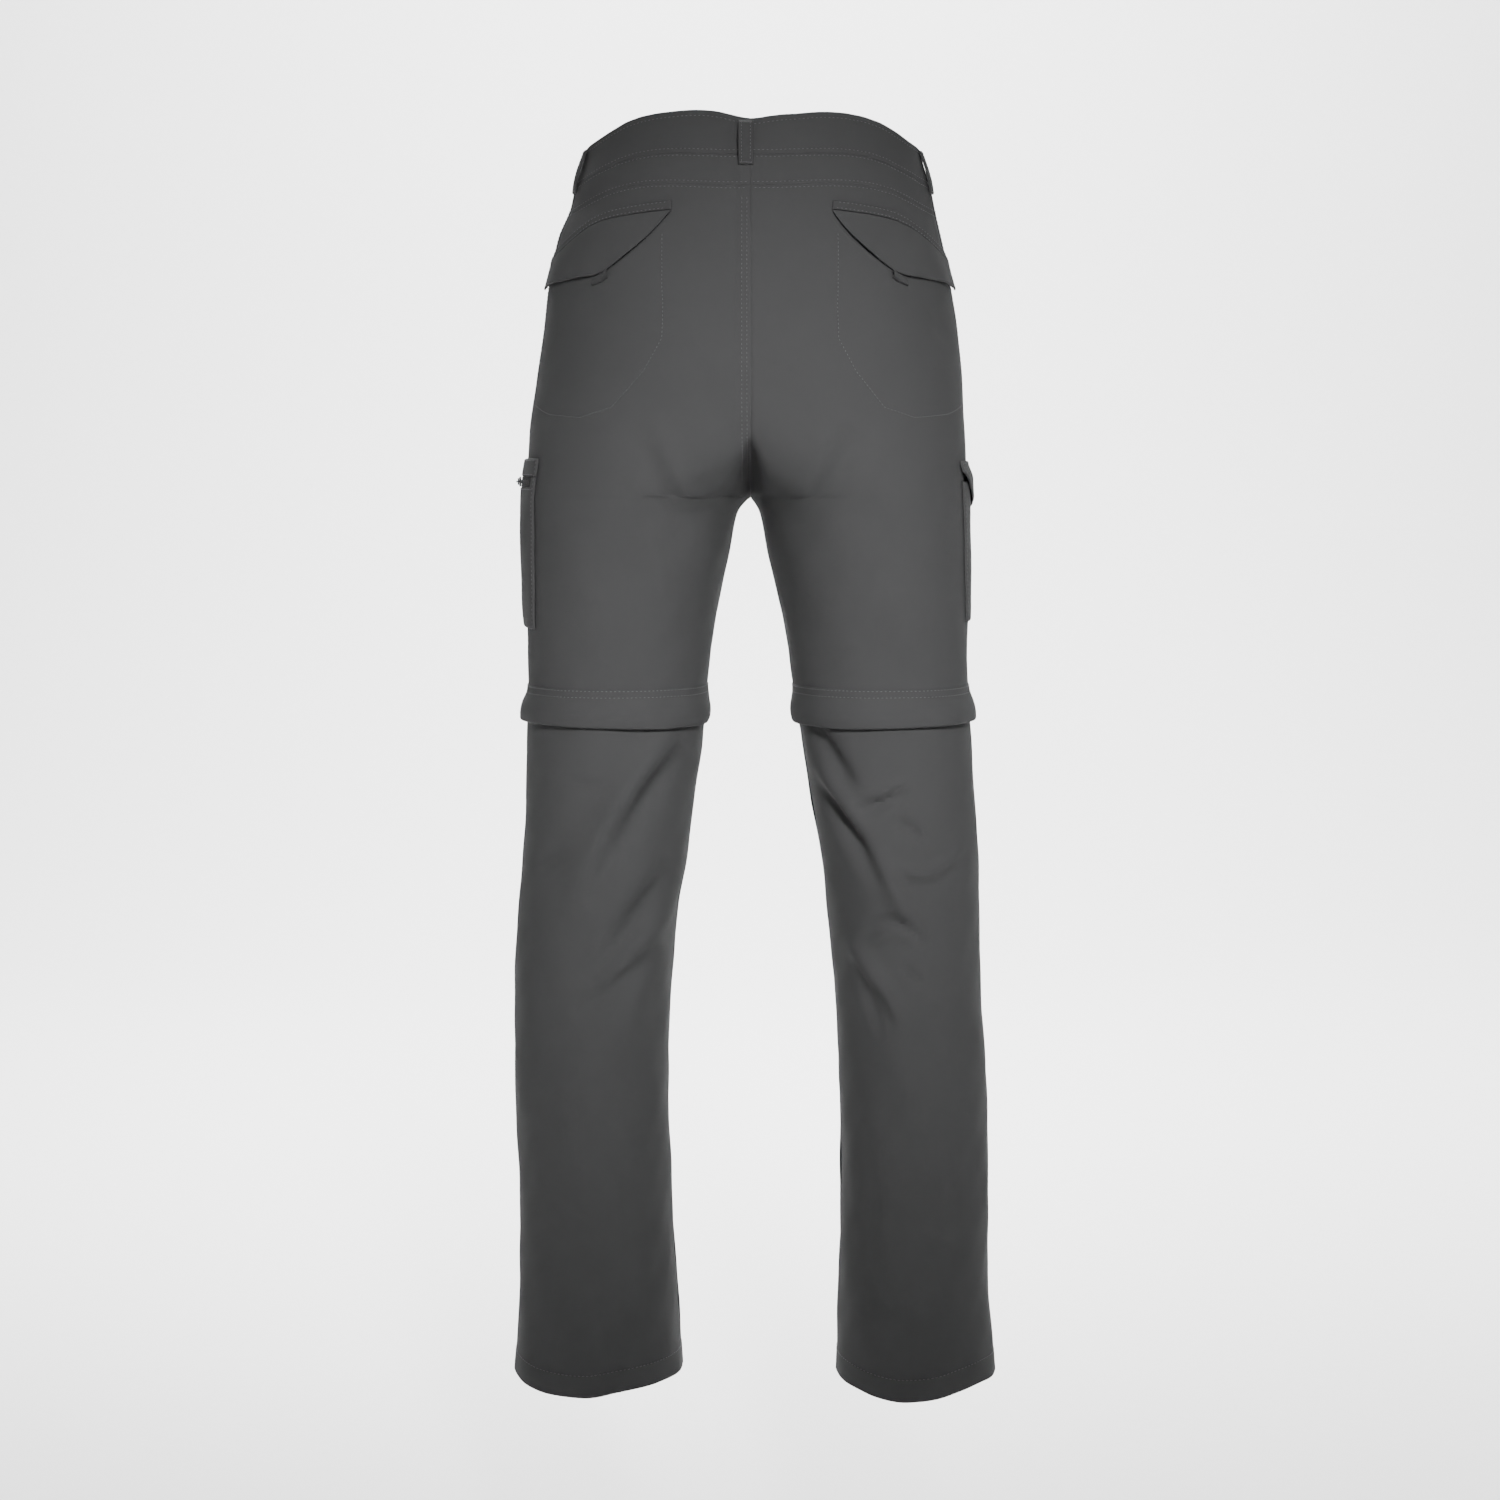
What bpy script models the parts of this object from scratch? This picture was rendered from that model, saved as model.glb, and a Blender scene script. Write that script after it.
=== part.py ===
"""Convertible zip-off trousers, filled out and standing as if worn.

Each cut piece is its own closed wall of cloth.

The front faces -Y and the wearer's left is +X. The origin is the middle of the waist opening, level with
the top of the waistband at the sides. Every piece of cloth is a patch of one body form: angle 0 is the
outside of a leg, positive angles go round the back to the inside, negative angles go round the front.
"""

import math

import bmesh
import bpy
import numpy as np

# Driving dimensions, in metres
SEAM = 0.0003
HALF_SEAM = SEAM / 2
BAND_SEAM = 0.0006
WALL = 0.0015
BAND_WALL = 0.0025
FLAP_WALL = 0.0016
LIFT = 0.0005
CROTCH = -0.276
KNEE = -0.4625
HEM = -1.060
SQUARENESS = 2.2
# Metres of cloth for each radian of turn, near enough to set seam gaps and small widths
WAIST_REACH = 0.147
HIP_REACH = 0.110
KNEE_REACH = 0.085
TIGHT_REACH = 0.200

# Waist edges: height at the side, at the centre back and at the centre front
RIM = {"side": 0.0200, "back": 0.0430, "front": -0.0080}
BAND_FOOT = {"side": -0.0130, "back": 0.0080, "front": -0.0400}
YOKE_FOOT = {"side": -0.0360, "back": -0.0200, "front": -0.0360}
RIM_DIP = 0.0050
RIM_DIP_WIDTH = 0.018

# Outside of each leg and hip: height, left half, right half
WIDTHS = (
    (0.060, 0.1340, 0.1390),
    (0.015, 0.1415, 0.1475),
    (-0.010, 0.1500, 0.1545),
    (-0.030, 0.1550, 0.1590),
    (-0.055, 0.1655, 0.1655),
    (-0.090, 0.1735, 0.1735),
    (-0.155, 0.1810, 0.1815),
    (-0.225, 0.1915, 0.1860),
    (-0.290, 0.1945, 0.1885),
    (-0.430, 0.1945, 0.1910),
    (-0.520, 0.1960, 0.1955),
    (-0.600, 0.2003, 0.2010),
    (-0.700, 0.2078, 0.2034),
    (-0.775, 0.2088, 0.2095),
    (-0.880, 0.2052, 0.2113),
    (-0.960, 0.2046, 0.2120),
    (-1.065, 0.2115, 0.2205),
)
# Inside of each leg: height, left leg, right leg
INSIDES = (
    (-0.276, 0.0005, 0.0005),
    (-0.290, 0.0115, 0.0090),
    (-0.330, 0.0200, 0.0175),
    (-0.400, 0.0331, 0.0325),
    (-0.436, 0.0377, 0.0377),
    (-0.490, 0.0418, 0.0460),
    (-0.540, 0.0502, 0.0545),
    (-0.595, 0.0555, 0.0635),
    (-0.635, 0.0640, 0.0683),
    (-0.700, 0.0690, 0.0744),
    (-0.775, 0.0728, 0.0790),
    (-0.880, 0.0704, 0.0811),
    (-0.960, 0.0660, 0.0796),
    (-1.065, 0.0595, 0.0770),
)
# Inner edge of each side's oval as a share of its outside, from the trunk down to the crotch
SPREAD = (
    (-0.130, -1.0000),
    (-0.150, -0.9850),
    (-0.175, -0.9000),
    (-0.200, -0.7200),
    (-0.222, -0.5000),
    (-0.240, -0.3200),
    (-0.254, -0.1900),
    (-0.264, -0.0950),
    (-0.271, -0.0360),
    (-0.276, 0.0026),
)
# Reach to the front and to the back: height, front, back
DEPTHS = (
    (0.060, 0.0990, 0.0990),
    (-0.020, 0.1080, 0.1080),
    (-0.060, 0.1130, 0.1150),
    (-0.110, 0.1160, 0.1240),
    (-0.170, 0.1140, 0.1300),
    (-0.230, 0.1070, 0.1260),
    (-0.277, 0.1000, 0.1170),
    (-0.350, 0.0920, 0.1010),
    (-0.440, 0.0830, 0.0860),
    (-0.520, 0.0780, 0.0820),
    (-0.600, 0.0730, 0.0840),
    (-0.700, 0.0680, 0.0830),
    (-0.800, 0.0630, 0.0780),
    (-0.950, 0.0570, 0.0710),
    (-1.065, 0.0550, 0.0700),
)
# Largest folds, as seen square on: side, face, start x, start z, end x, end z, depth, width.
# x is measured from the centre line outwards, and a negative depth is a trough.
FOLDS = (
    (1, 1, 0.066, -0.490, 0.138, -0.612, 0.0050, 0.0150),
    (1, 1, 0.052, -0.500, 0.120, -0.640, -0.0045, 0.0130),
    (1, 1, 0.066, -0.610, 0.132, -0.705, -0.0040, 0.0120),
    (1, 1, 0.062, -0.650, 0.128, -0.715, 0.0035, 0.0120),
    (1, 1, 0.090, -0.690, 0.150, -0.740, -0.0030, 0.0120),
    (-1, 1, 0.055, -0.480, 0.118, -0.600, -0.0050, 0.0110),
    (-1, 1, 0.056, -0.500, 0.150, -0.655, 0.0045, 0.0140),
    (-1, 1, 0.128, -0.585, 0.152, -0.620, -0.0030, 0.0100),
    (-1, 1, 0.086, -0.660, 0.130, -0.735, 0.0040, 0.0130),
    (-1, 1, 0.104, -0.648, 0.146, -0.655, -0.0030, 0.0100),
    (1, 1, 0.030, -0.225, 0.062, -0.330, -0.0040, 0.0130),
    (1, 1, 0.060, -0.215, 0.044, -0.275, 0.0030, 0.0120),
    (-1, 1, 0.072, -0.225, 0.036, -0.320, -0.0040, 0.0130),
    (-1, 1, 0.070, -0.205, 0.038, -0.285, 0.0030, 0.0120),
    (1, -1, 0.070, -0.500, 0.140, -0.590, -0.0045, 0.0140),
    (1, -1, 0.078, -0.560, 0.150, -0.655, 0.0040, 0.0140),
    (1, -1, 0.066, -0.660, 0.130, -0.720, -0.0035, 0.0130),
    (-1, -1, 0.072, -0.505, 0.136, -0.600, -0.0045, 0.0140),
    (-1, -1, 0.080, -0.580, 0.150, -0.640, 0.0040, 0.0140),
    (-1, -1, 0.080, -0.665, 0.140, -0.735, -0.0035, 0.0130),
    (1, -1, 0.020, -0.235, 0.080, -0.190, -0.0040, 0.0120),
    (-1, -1, 0.020, -0.240, 0.086, -0.200, -0.0040, 0.0120),
    (1, -1, 0.022, -0.268, 0.082, -0.250, -0.0030, 0.0110),
    (-1, -1, 0.022, -0.264, 0.074, -0.244, -0.0030, 0.0110),
)

# Panel grids
PANEL_COLUMNS = 12
TRUNK_LEVELS = (-0.110, -0.140, -0.170, -0.195, -0.218, -0.236, -0.250, -0.260, -0.267, -0.272, CROTCH,
                -0.284, -0.298, -0.322, -0.355, -0.385, -0.415, -0.440)
SLOPING_STEPS = 4
YOKE_STEPS = 2
BAND_STEPS = 2
BAND_COLUMNS = 50
CALF_LEVELS = 15
CALF_FOOT = -0.800
SHIN_LEVELS = 5

# Side seam, which sits a little behind the outside of the hip, and the hand pocket's mouth in it
SEAM_TURN = 0.20
SEAM_TURN_TOP = -0.030
SEAM_TURN_FOOT = -0.230
MOUTH_TOP = -0.020
MOUTH_WIDEST = -0.036
MOUTH_FOOT = -0.185
MOUTH_GAPE = 0.0060
FACING_FRONT = 0.030
FACING_BACK = 0.014
FACING_WALL = 0.0010
FACING_GAP = 0.0011

# Waistband fastening at the front
UNDERLAP = 0.042
OVERLAP = 0.006
UNDERLAP_RAMP = 0.030
UNDERLAP_FLAT = 0.036
BUTTON_RADIUS = 0.0085
BUTTON_HEIGHT = 0.0030
BUTTON_PLACE = 0.012
BUTTON_EDGE = 0.0007

# Belt loops: name, side, distance of the foot from the side of the hip, lean of the top, width
LOOPS = (
    ("belt_loop_back", 1, 0.1975, 0.0020, 0.0120),
    ("belt_loop_side_left", 1, 0.0250, 0.0000, 0.0120),
    ("belt_loop_side_right", -1, 0.0230, 0.0000, 0.0120),
    ("belt_loop_front_left", 1, -0.0950, 0.0000, 0.0120),
    ("belt_loop_front_right", -1, -0.0950, 0.0000, 0.0120),
)
LOOP_TOP = 0.0025
LOOP_LENGTH = 0.042
LOOP_STAND = 0.0012

# Back pocket flap: distance from the side of the hip, top of the strip, foot of the flap
POCKET_FLAP = (
    (0.0100, -0.0770, -0.0985),
    (0.0320, -0.0640, -0.0960),
    (0.0600, -0.0520, -0.0940),
    (0.0800, -0.0425, -0.0925),
    (0.1000, -0.0375, -0.0910),
    (0.1120, -0.0345, -0.0890),
    (0.1220, -0.0330, -0.0830),
    (0.1340, -0.0315, -0.0730),
    (0.1450, -0.0310, -0.0590),
    (0.1490, -0.0310, -0.0440),
)
STRIP_HEIGHT = 0.0055
FLAP_STAND = 0.0014
TAB_PLACE = 0.1040
TAB_WIDTH = 0.0160
TAB_LENGTH = 0.0120
TAB_STAND = 0.0010

# Zipped cargo pocket on the left thigh
ZIP_POCKET_TOP = -0.2425
ZIP_POCKET_FOOT = -0.3880
ZIP_POCKET_BACK = (0.0660, 0.0540)
ZIP_POCKET_WIDTH = 0.150
ZIP_HEIGHT = -0.2625
ZIP_HALF = 0.0045
ZIP_BACK = 0.0480
ZIP_FRONT = -0.0720
ZIP_CORNER = 0.002
POCKET_BULGE = 0.0030
TAPE_WALL = 0.0010
COIL_STAND = 0.0008
COIL_HALF = 0.0007
COIL_FOOT = 0.0012

# Zip slider and its pull tab
SLIDER_PLACE = 0.0140
SLIDER_LENGTH = 0.0110
SLIDER_WIDTH = 0.0085
SLIDER_PLATE = 0.0016
CROWN_LENGTH = 0.0076
CROWN_WIDTH = 0.0013
CROWN_RISE = 0.0028
CROWN_SLOT = 0.0018
CROWN_POST = 0.0012
PIN_RADIUS = 0.0006
PIN_SLACK = 0.0002
PULL_WIDTH = 0.0058
PULL_LENGTH = 0.0210
PULL_EYE = 0.0036
PULL_BAR = 0.0013

# Flapped cargo pocket on the right thigh
FLAP_POCKET_TOP = -0.2620
FLAP_POCKET_FOOT = -0.3830
FLAP_POCKET_BACK = (0.0500, 0.0340)
FLAP_POCKET_WIDTH = 0.150
CARGO_BULGE = 0.0012
# Cargo flap: distance from the side of the thigh, top, foot
CARGO_FLAP = (
    (-0.1080, -0.2445, -0.2560),
    (-0.0850, -0.2445, -0.2660),
    (-0.0560, -0.2445, -0.2800),
    (-0.0270, -0.2445, -0.2890),
    (0.0020, -0.2445, -0.2800),
    (0.0310, -0.2445, -0.2660),
    (0.0540, -0.2445, -0.2540),
)
CARGO_FLAP_STAND = 0.0036
CARGO_FLAP_NECK = 0.002

# Zip-off joint at the knee, under its storm flap
KNEE_FLAP = (
    (-0.4380, LIFT),
    (-0.4440, 0.0024),
    (-0.4520, 0.0034),
    (-0.4620, 0.0034),
    (-0.4695, 0.0030),
)
KNEE_ZIP_HALF = 0.0057
KNEE_COIL = 0.0008
KNEE_COIL_HALF = 0.0016
KNEE_COIL_FOOT = 0.0020
KNEE_SLIDER_ANGLE = -0.5
KNEE_SLIDER_WIDTH = 0.0100
KNEE_SLIDER_HEIGHT = 0.0100
KNEE_SLIDER_WALL = 0.0012

# Finish of each kind of piece: colour, roughness, metallic
FINISHES = {
    "cloth": ((0.058, 0.058, 0.060), 0.78, 0.0),
    "trim": ((0.050, 0.050, 0.052), 0.75, 0.0),
    "zip_tape": ((0.018, 0.018, 0.020), 0.70, 0.0),
    "zip_metal": ((0.030, 0.030, 0.032), 0.38, 0.6),
    "button": ((0.028, 0.028, 0.030), 0.35, 0.0),
}


def clear_scene():
    for obj in list(bpy.data.objects):
        bpy.data.objects.remove(obj, do_unlink=True)


def smooth(table, column, height):
    """A column of a table at any height, by a cubic through its rows that never overshoots."""
    rows = np.array(table)[::-1]
    level, value = rows[:, 0], rows[:, column]
    step = np.diff(value) / np.diff(level)
    slope = np.concatenate([step[:1], np.zeros(len(step) - 1), step[-1:]])
    same = step[:-1] * step[1:] > 0
    slope[1:-1][same] = 2 * step[:-1][same] * step[1:][same] / (step[:-1] + step[1:])[same]
    at = np.clip(height, level[0], level[-1])
    row = np.clip(np.searchsorted(level, at) - 1, 0, len(level) - 2)
    gap = level[row + 1] - level[row]
    t = (at - level[row]) / gap
    low = (1 + 2 * t) * (1 - t) ** 2 * value[row] + t * (1 - t) ** 2 * gap * slope[row]
    high = t * t * (3 - 2 * t) * value[row + 1] + t * t * (t - 1) * gap * slope[row + 1]
    return low + high


def by_side(table, side, height):
    return np.where(np.asarray(side) > 0, smooth(table, 1, height), smooth(table, 2, height))


def section(side, height):
    """Middle and half width of one side's oval. Above the crotch it crosses the centre, where it is cut."""
    outer = by_side(WIDTHS, side, height)
    inside = by_side(INSIDES, side, height)
    inner = np.where(height > CROTCH, outer * smooth(SPREAD, 1, height), inside)
    return (outer + inner) / 2, (outer - inner) / 2


def form(side, angle, height):
    """Outer surface of the smooth cloth form."""
    side, angle, height = np.broadcast_arrays(side, angle, height)
    middle, half = section(side, height)
    depth = np.where(angle > 0, smooth(DEPTHS, 2, height), smooth(DEPTHS, 1, height))
    across, along = np.cos(angle), np.sin(angle)
    x = middle + half * np.sign(across) * np.abs(across) ** (2 / SQUARENESS)
    y = depth * np.sign(along) * np.abs(along) ** (2 / SQUARENESS)
    return np.stack([side * x, y, height], axis=-1)


def outward(side, angle, height):
    """Unit normal of the form, pointing out of the cloth."""
    turn, rise = 0.01, 0.002
    along = form(side, angle + turn, height) - form(side, angle - turn, height)
    up = form(side, angle, height + rise) - form(side, angle, height - rise)
    normal = np.cross(along, up) * np.asarray(side)[..., None]
    return normal / np.linalg.norm(normal, axis=-1, keepdims=True)


def relief(side, point, normal):
    """Height of the folds at points of the form."""
    x, z = side * point[..., 0], point[..., 2]
    total = np.zeros(x.shape)
    for leg, face, x0, z0, x1, z1, depth, width in FOLDS:
        run = np.hypot(x1 - x0, z1 - z0)
        along = ((x - x0) * (x1 - x0) + (z - z0) * (z1 - z0)) / run
        across = ((x - x0) * (z1 - z0) - (z - z0) * (x1 - x0)) / run
        ends = np.clip(along / run, 0, 1)
        taper = np.sin(math.pi * ends) ** 0.7
        facing = np.clip(normal[..., 1] * face, 0, 1)
        here = (side == leg) * np.clip(facing * 1.6, 0, 1)
        total += here * depth * taper * np.exp(-((across / width) ** 2))
    return total


def skin(side, angle, height, lift, cut=True):
    """Points of the cloth, moved out from it by lift. A cut piece ends at the centre seam."""
    side, angle, height, lift = np.broadcast_arrays(side, angle, height, lift)
    point, normal = form(side, angle, height), outward(side, angle, height)
    moved = point + normal * (relief(side, point, normal) + lift)[..., None]
    if cut:
        moved[..., 0] = side * np.maximum(side * moved[..., 0], HALF_SEAM)
    return moved


def inner_end(side, height):
    """Angle where a panel ends: at the centre seam above the crotch, at the inseam below it."""
    middle, half = section(side, height)
    reach = np.clip((middle - HALF_SEAM) / half, 0, 1)
    centre = np.arccos(-(reach ** (SQUARENESS / 2)))
    inseam = math.pi - (HALF_SEAM / smooth(DEPTHS, 1, height)) ** (SQUARENESS / 2)
    return np.where(height > CROTCH + HALF_SEAM, np.minimum(centre, inseam), inseam)


def seam_angle(height):
    """Angle of the side seam."""
    t = np.clip((height - SEAM_TURN_FOOT) / (SEAM_TURN_TOP - SEAM_TURN_FOOT), 0, 1)
    return SEAM_TURN * t * t * (3 - 2 * t)


def angle_at(side, distance, height):
    """Angle at a distance round the cloth from angle 0, positive to the back and negative to the front."""
    distance, height = np.broadcast_arrays(distance, height)
    found = np.zeros(distance.shape)
    for place in np.ndindex(distance.shape):
        way = -1 if distance[place] < 0 else 1
        turns = np.linspace(0, 2.6, 105)
        points = form(side, way * turns, np.full(turns.shape, height[place]))
        steps = np.linalg.norm(np.diff(points, axis=0), axis=1)
        reach = np.concatenate([[0.0], np.cumsum(steps)])
        found[place] = way * np.interp(abs(distance[place]), reach, turns)
    return found


def edge(heights, angle):
    """Height of a sloping waist edge at an angle."""
    end = np.where(angle > 0, heights["back"], heights["front"])
    return heights["side"] + (end - heights["side"]) * np.sin(angle) ** 2


def rim(side, angle):
    """Top of the waistband, with its dip at the centre back."""
    level = edge(RIM, angle)
    x = form(side, angle, level)[..., 0]
    return level - RIM_DIP * np.exp(-((x / RIM_DIP_WIDTH) ** 2)) * (np.asarray(angle) > 0)


def finish(name, kind):
    colour, roughness, metallic = FINISHES[kind]
    material = bpy.data.materials.new(name)
    material.use_nodes = True
    shader = material.node_tree.nodes["Principled BSDF"]
    shader.inputs["Base Color"].default_value = (*colour, 1.0)
    shader.inputs["Roughness"].default_value = roughness
    shader.inputs["Metallic"].default_value = metallic
    return material


def add_object(name, mesh, kind):
    obj = bpy.data.objects.new(name, mesh)
    bpy.context.scene.collection.objects.link(obj)
    mesh.materials.append(finish(name, kind))
    mesh.shade_smooth()
    mesh.set_sharp_from_angle(angle=math.radians(40))
    return obj


def sheet(name, kind, outer, inner, ring=False):
    """Closed wall between two grids of points. A ring joins its last column to its first."""
    rows, columns = outer.shape[:2]
    count = rows * columns
    points = np.concatenate([outer.reshape(-1, 3), inner.reshape(-1, 3)])
    index = np.arange(count).reshape(rows, columns)
    last = columns if ring else columns - 1
    faces = []
    for i in range(rows - 1):
        for j in range(last):
            k = (j + 1) % columns
            a, b, c, d = index[i, j], index[i, k], index[i + 1, k], index[i + 1, j]
            faces.append((a, b, c, d))
            faces.append((d + count, c + count, b + count, a + count))
    for i in (0, rows - 1):
        for j in range(last):
            k = (j + 1) % columns
            a, b = index[i, j], index[i, k]
            faces.append((b, a, a + count, b + count) if i == 0 else (a, b, b + count, a + count))
    if not ring:
        for j in (0, columns - 1):
            for i in range(rows - 1):
                a, b = index[i, j], index[i + 1, j]
                faces.append((a, b, b + count, a + count) if j == 0 else (b, a, a + count, b + count))
    mesh = bpy.data.meshes.new(name)
    mesh.from_pydata([tuple(p) for p in points], [], [tuple(int(v) for v in face) for face in faces])
    shell = bmesh.new()
    shell.from_mesh(mesh)
    bmesh.ops.recalc_face_normals(shell, faces=shell.faces)
    if shell.calc_volume(signed=True) < 0:
        bmesh.ops.reverse_faces(shell, faces=shell.faces)
    shell.to_mesh(mesh)
    shell.free()
    return add_object(name, mesh, kind)


def patch(name, kind, side, angles, heights, lift, wall, ring=False, cut=True):
    """Wall of cloth over a grid of angles and heights, its inner face at lift."""
    outer = skin(side, angles, heights, lift + wall, cut)
    inner = skin(side, angles, heights, lift, cut)
    return sheet(name, kind, outer, inner, ring)


def sloping_levels(top, flat, steps, below):
    """Rows of heights from a sloping edge down to a flat level, then level rows."""
    share = np.linspace(0, 1, steps + 1)[:, None]
    sloping = top[None, :] * (1 - share) + flat * share
    level = np.array(below)[:, None] * np.ones((1, len(top)))
    return np.concatenate([sloping, level])


def side_word(side):
    return "left" if side > 0 else "right"


def add_waistband():
    """One strip that starts under the left front, goes round the back and laps over itself at the front."""
    centre = form(1, -math.pi / 2, 0.0)[1]
    under = UNDERLAP / WAIST_REACH
    over = OVERLAP / WAIST_REACH
    turns = np.linspace(-under, 2 * math.pi + over, BAND_COLUMNS + 1)
    right = ((turns >= 0) & (turns <= math.pi)) | (turns > 2 * math.pi)
    side = np.where(right, -1, 1)
    past = np.where(turns > 2 * math.pi, turns - 2 * math.pi, turns)
    left_turn = np.where(turns < 0, -math.pi / 2 - turns, 1.5 * math.pi - turns)
    angle = np.where(right, past - math.pi / 2, left_turn)
    ramp = np.clip(((turns + under) * abs(centre) - UNDERLAP_FLAT) / UNDERLAP_RAMP, 0, 1)
    tuck = -(BAND_WALL + LIFT) * (1 - ramp * ramp * (3 - 2 * ramp))
    top, foot = rim(side, angle), edge(BAND_FOOT, angle)
    share = np.linspace(0, 1, BAND_STEPS + 1)[:, None]
    heights = top[None, :] * (1 - share) + foot[None, :] * share
    grid = np.ones((BAND_STEPS + 1, 1))
    patch("waistband", "cloth", side * grid, angle * grid, heights, tuck * grid - BAND_WALL, BAND_WALL)


def add_yoke(side):
    share = np.linspace(0, 1, PANEL_COLUMNS + 1)
    start = seam_angle(SEAM_TURN_TOP) + SEAM / HIP_REACH
    angle = start + (inner_end(side, np.array(0.0)) - start) * share
    top, foot = edge(BAND_FOOT, angle) - SEAM, edge(YOKE_FOOT, angle) + HALF_SEAM
    down = np.linspace(0, 1, YOKE_STEPS + 1)[:, None]
    heights = top[None, :] * (1 - down) + foot[None, :] * down
    patch("yoke_" + side_word(side), "cloth", side, angle[None, :], heights, -WALL, WALL)


def panel_angles(side, face, heights, start):
    share = np.linspace(0, 1, PANEL_COLUMNS + 1)[None, :]
    return start + (face * inner_end(side, heights) - start) * share


def add_back(side):
    share = np.linspace(0, 1, PANEL_COLUMNS + 1)
    start = seam_angle(SEAM_TURN_TOP)
    top = edge(YOKE_FOOT, start + (math.pi / 2 - start) * share) - HALF_SEAM
    below = TRUNK_LEVELS[1:] + (KNEE + KNEE_ZIP_HALF + SEAM,)
    heights = sloping_levels(top, TRUNK_LEVELS[0], SLOPING_STEPS, below)
    angles = panel_angles(side, 1, heights, seam_angle(heights) + SEAM / TIGHT_REACH)
    patch("back_" + side_word(side), "cloth", side, angles, heights, -WALL, WALL)


def mouth_gape(height):
    """How far the front edge of the hand pocket stands away from the side seam."""
    opening = np.clip((MOUTH_TOP - height) / (MOUTH_TOP - MOUTH_WIDEST), 0, 1)
    closing = np.clip((height - MOUTH_FOOT) / (MOUTH_WIDEST - MOUTH_FOOT), 0, 1)
    return MOUTH_GAPE * opening * closing ** 2


def add_front(side):
    share = np.linspace(0, 1, PANEL_COLUMNS + 1)
    start = seam_angle(SEAM_TURN_TOP)
    top = edge(BAND_FOOT, start - (math.pi / 2 + start) * share) - BAND_SEAM
    below = TRUNK_LEVELS[1:] + (KNEE + KNEE_ZIP_HALF + SEAM,)
    heights = sloping_levels(top, TRUNK_LEVELS[0], SLOPING_STEPS + 2, below)
    start = seam_angle(heights) - SEAM / TIGHT_REACH - mouth_gape(heights) / HIP_REACH
    angles = panel_angles(side, -1, heights, start)
    patch("front_" + side_word(side), "cloth", side, angles, heights, -WALL, WALL)


def add_hand_pocket(side):
    """Facing that shows in the mouth of the hand pocket, behind the side seam."""
    heights = np.linspace(MOUTH_TOP - 0.004, MOUTH_FOOT - 0.010, 9)[:, None]
    share = np.linspace(0, 1, 4)[None, :]
    start = seam_angle(heights) + FACING_BACK / HIP_REACH
    angles = start - (FACING_BACK + FACING_FRONT) / HIP_REACH * share
    lift = -(WALL + FACING_GAP + FACING_WALL)
    patch("hand_pocket_" + side_word(side), "trim", side, angles, heights, lift, FACING_WALL)


def add_belt_loop(name, side, place, lean, width):
    share = np.linspace(0, 1, 6)[:, None]
    across = np.linspace(-width / 2, width / 2, 3)[None, :]
    distance = place + across + lean * (1 - share) * np.sign(place)
    middle = angle_at(side, np.full((6, 3), place), np.zeros((6, 3)))
    top = rim(side, middle) - LOOP_TOP
    heights = top - LOOP_LENGTH * share
    angles = angle_at(side, distance * np.ones(heights.shape), heights)
    lift = LIFT + LOOP_STAND * np.sin(math.pi * share)
    patch(name, "trim", side, angles, heights, lift, WALL, cut=False)


def flap_edges(table, distance):
    rows = np.array(table)
    return np.interp(distance, rows[:, 0], rows[:, 1]), np.interp(distance, rows[:, 0], rows[:, 2])


def add_back_pocket(side):
    """Top strip, pointed flap and the folded tab under the flap's point."""
    word = side_word(side)
    rows = np.array(POCKET_FLAP)
    distance = np.sort(np.concatenate([rows[:, 0], (rows[:-1, 0] + rows[1:, 0]) / 2]))
    top, foot = flap_edges(POCKET_FLAP, distance)
    down = np.array([0.0, 1.0])[:, None]
    heights = top - STRIP_HEIGHT * down
    angles = angle_at(side, distance * np.ones(heights.shape), heights)
    patch("back_pocket_strip_" + word, "trim", side, angles, heights, LIFT, FLAP_WALL)

    down = np.linspace(0, 1, 5)[:, None]
    heights = (top - STRIP_HEIGHT - SEAM) * (1 - down) + foot * down
    angles = angle_at(side, distance * np.ones(heights.shape), heights)
    lift = LIFT + FLAP_STAND * down ** 0.7
    patch("back_pocket_flap_" + word, "cloth", side, angles, heights, lift, FLAP_WALL)

    distance = TAB_PLACE + np.linspace(-TAB_WIDTH / 2, TAB_WIDTH / 2, 4)
    _, foot = flap_edges(POCKET_FLAP, distance)
    down = np.linspace(0, 1, 3)[:, None]
    heights = foot - SEAM - LIFT - TAB_LENGTH * down
    angles = angle_at(side, distance * np.ones(heights.shape), heights)
    patch("flap_tab_" + word, "trim", side, angles, heights, LIFT + TAB_STAND * (1 - down), FLAP_WALL)


def pocket_swell(distance, height, back, front, top, foot, amount):
    """Soft swelling of a patch pocket, nothing at its sewn edges."""
    across = np.clip((distance - front) / (back - front), 0, 1)
    down = np.clip((top - height) / (top - foot), 0, 1)
    return amount * np.sin(math.pi * across) ** 0.5 * np.sin(math.pi * down) ** 0.35


def zip_pocket_grid(share_across, heights):
    down = (ZIP_POCKET_TOP - heights) / (ZIP_POCKET_TOP - ZIP_POCKET_FOOT)
    back = ZIP_POCKET_BACK[0] * (1 - down) + ZIP_POCKET_BACK[1] * down
    distance = back - ZIP_POCKET_WIDTH * share_across
    lift = LIFT + pocket_swell(distance, heights, back, back - ZIP_POCKET_WIDTH,
                               ZIP_POCKET_TOP, ZIP_POCKET_FOOT, POCKET_BULGE)
    return distance, lift


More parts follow.
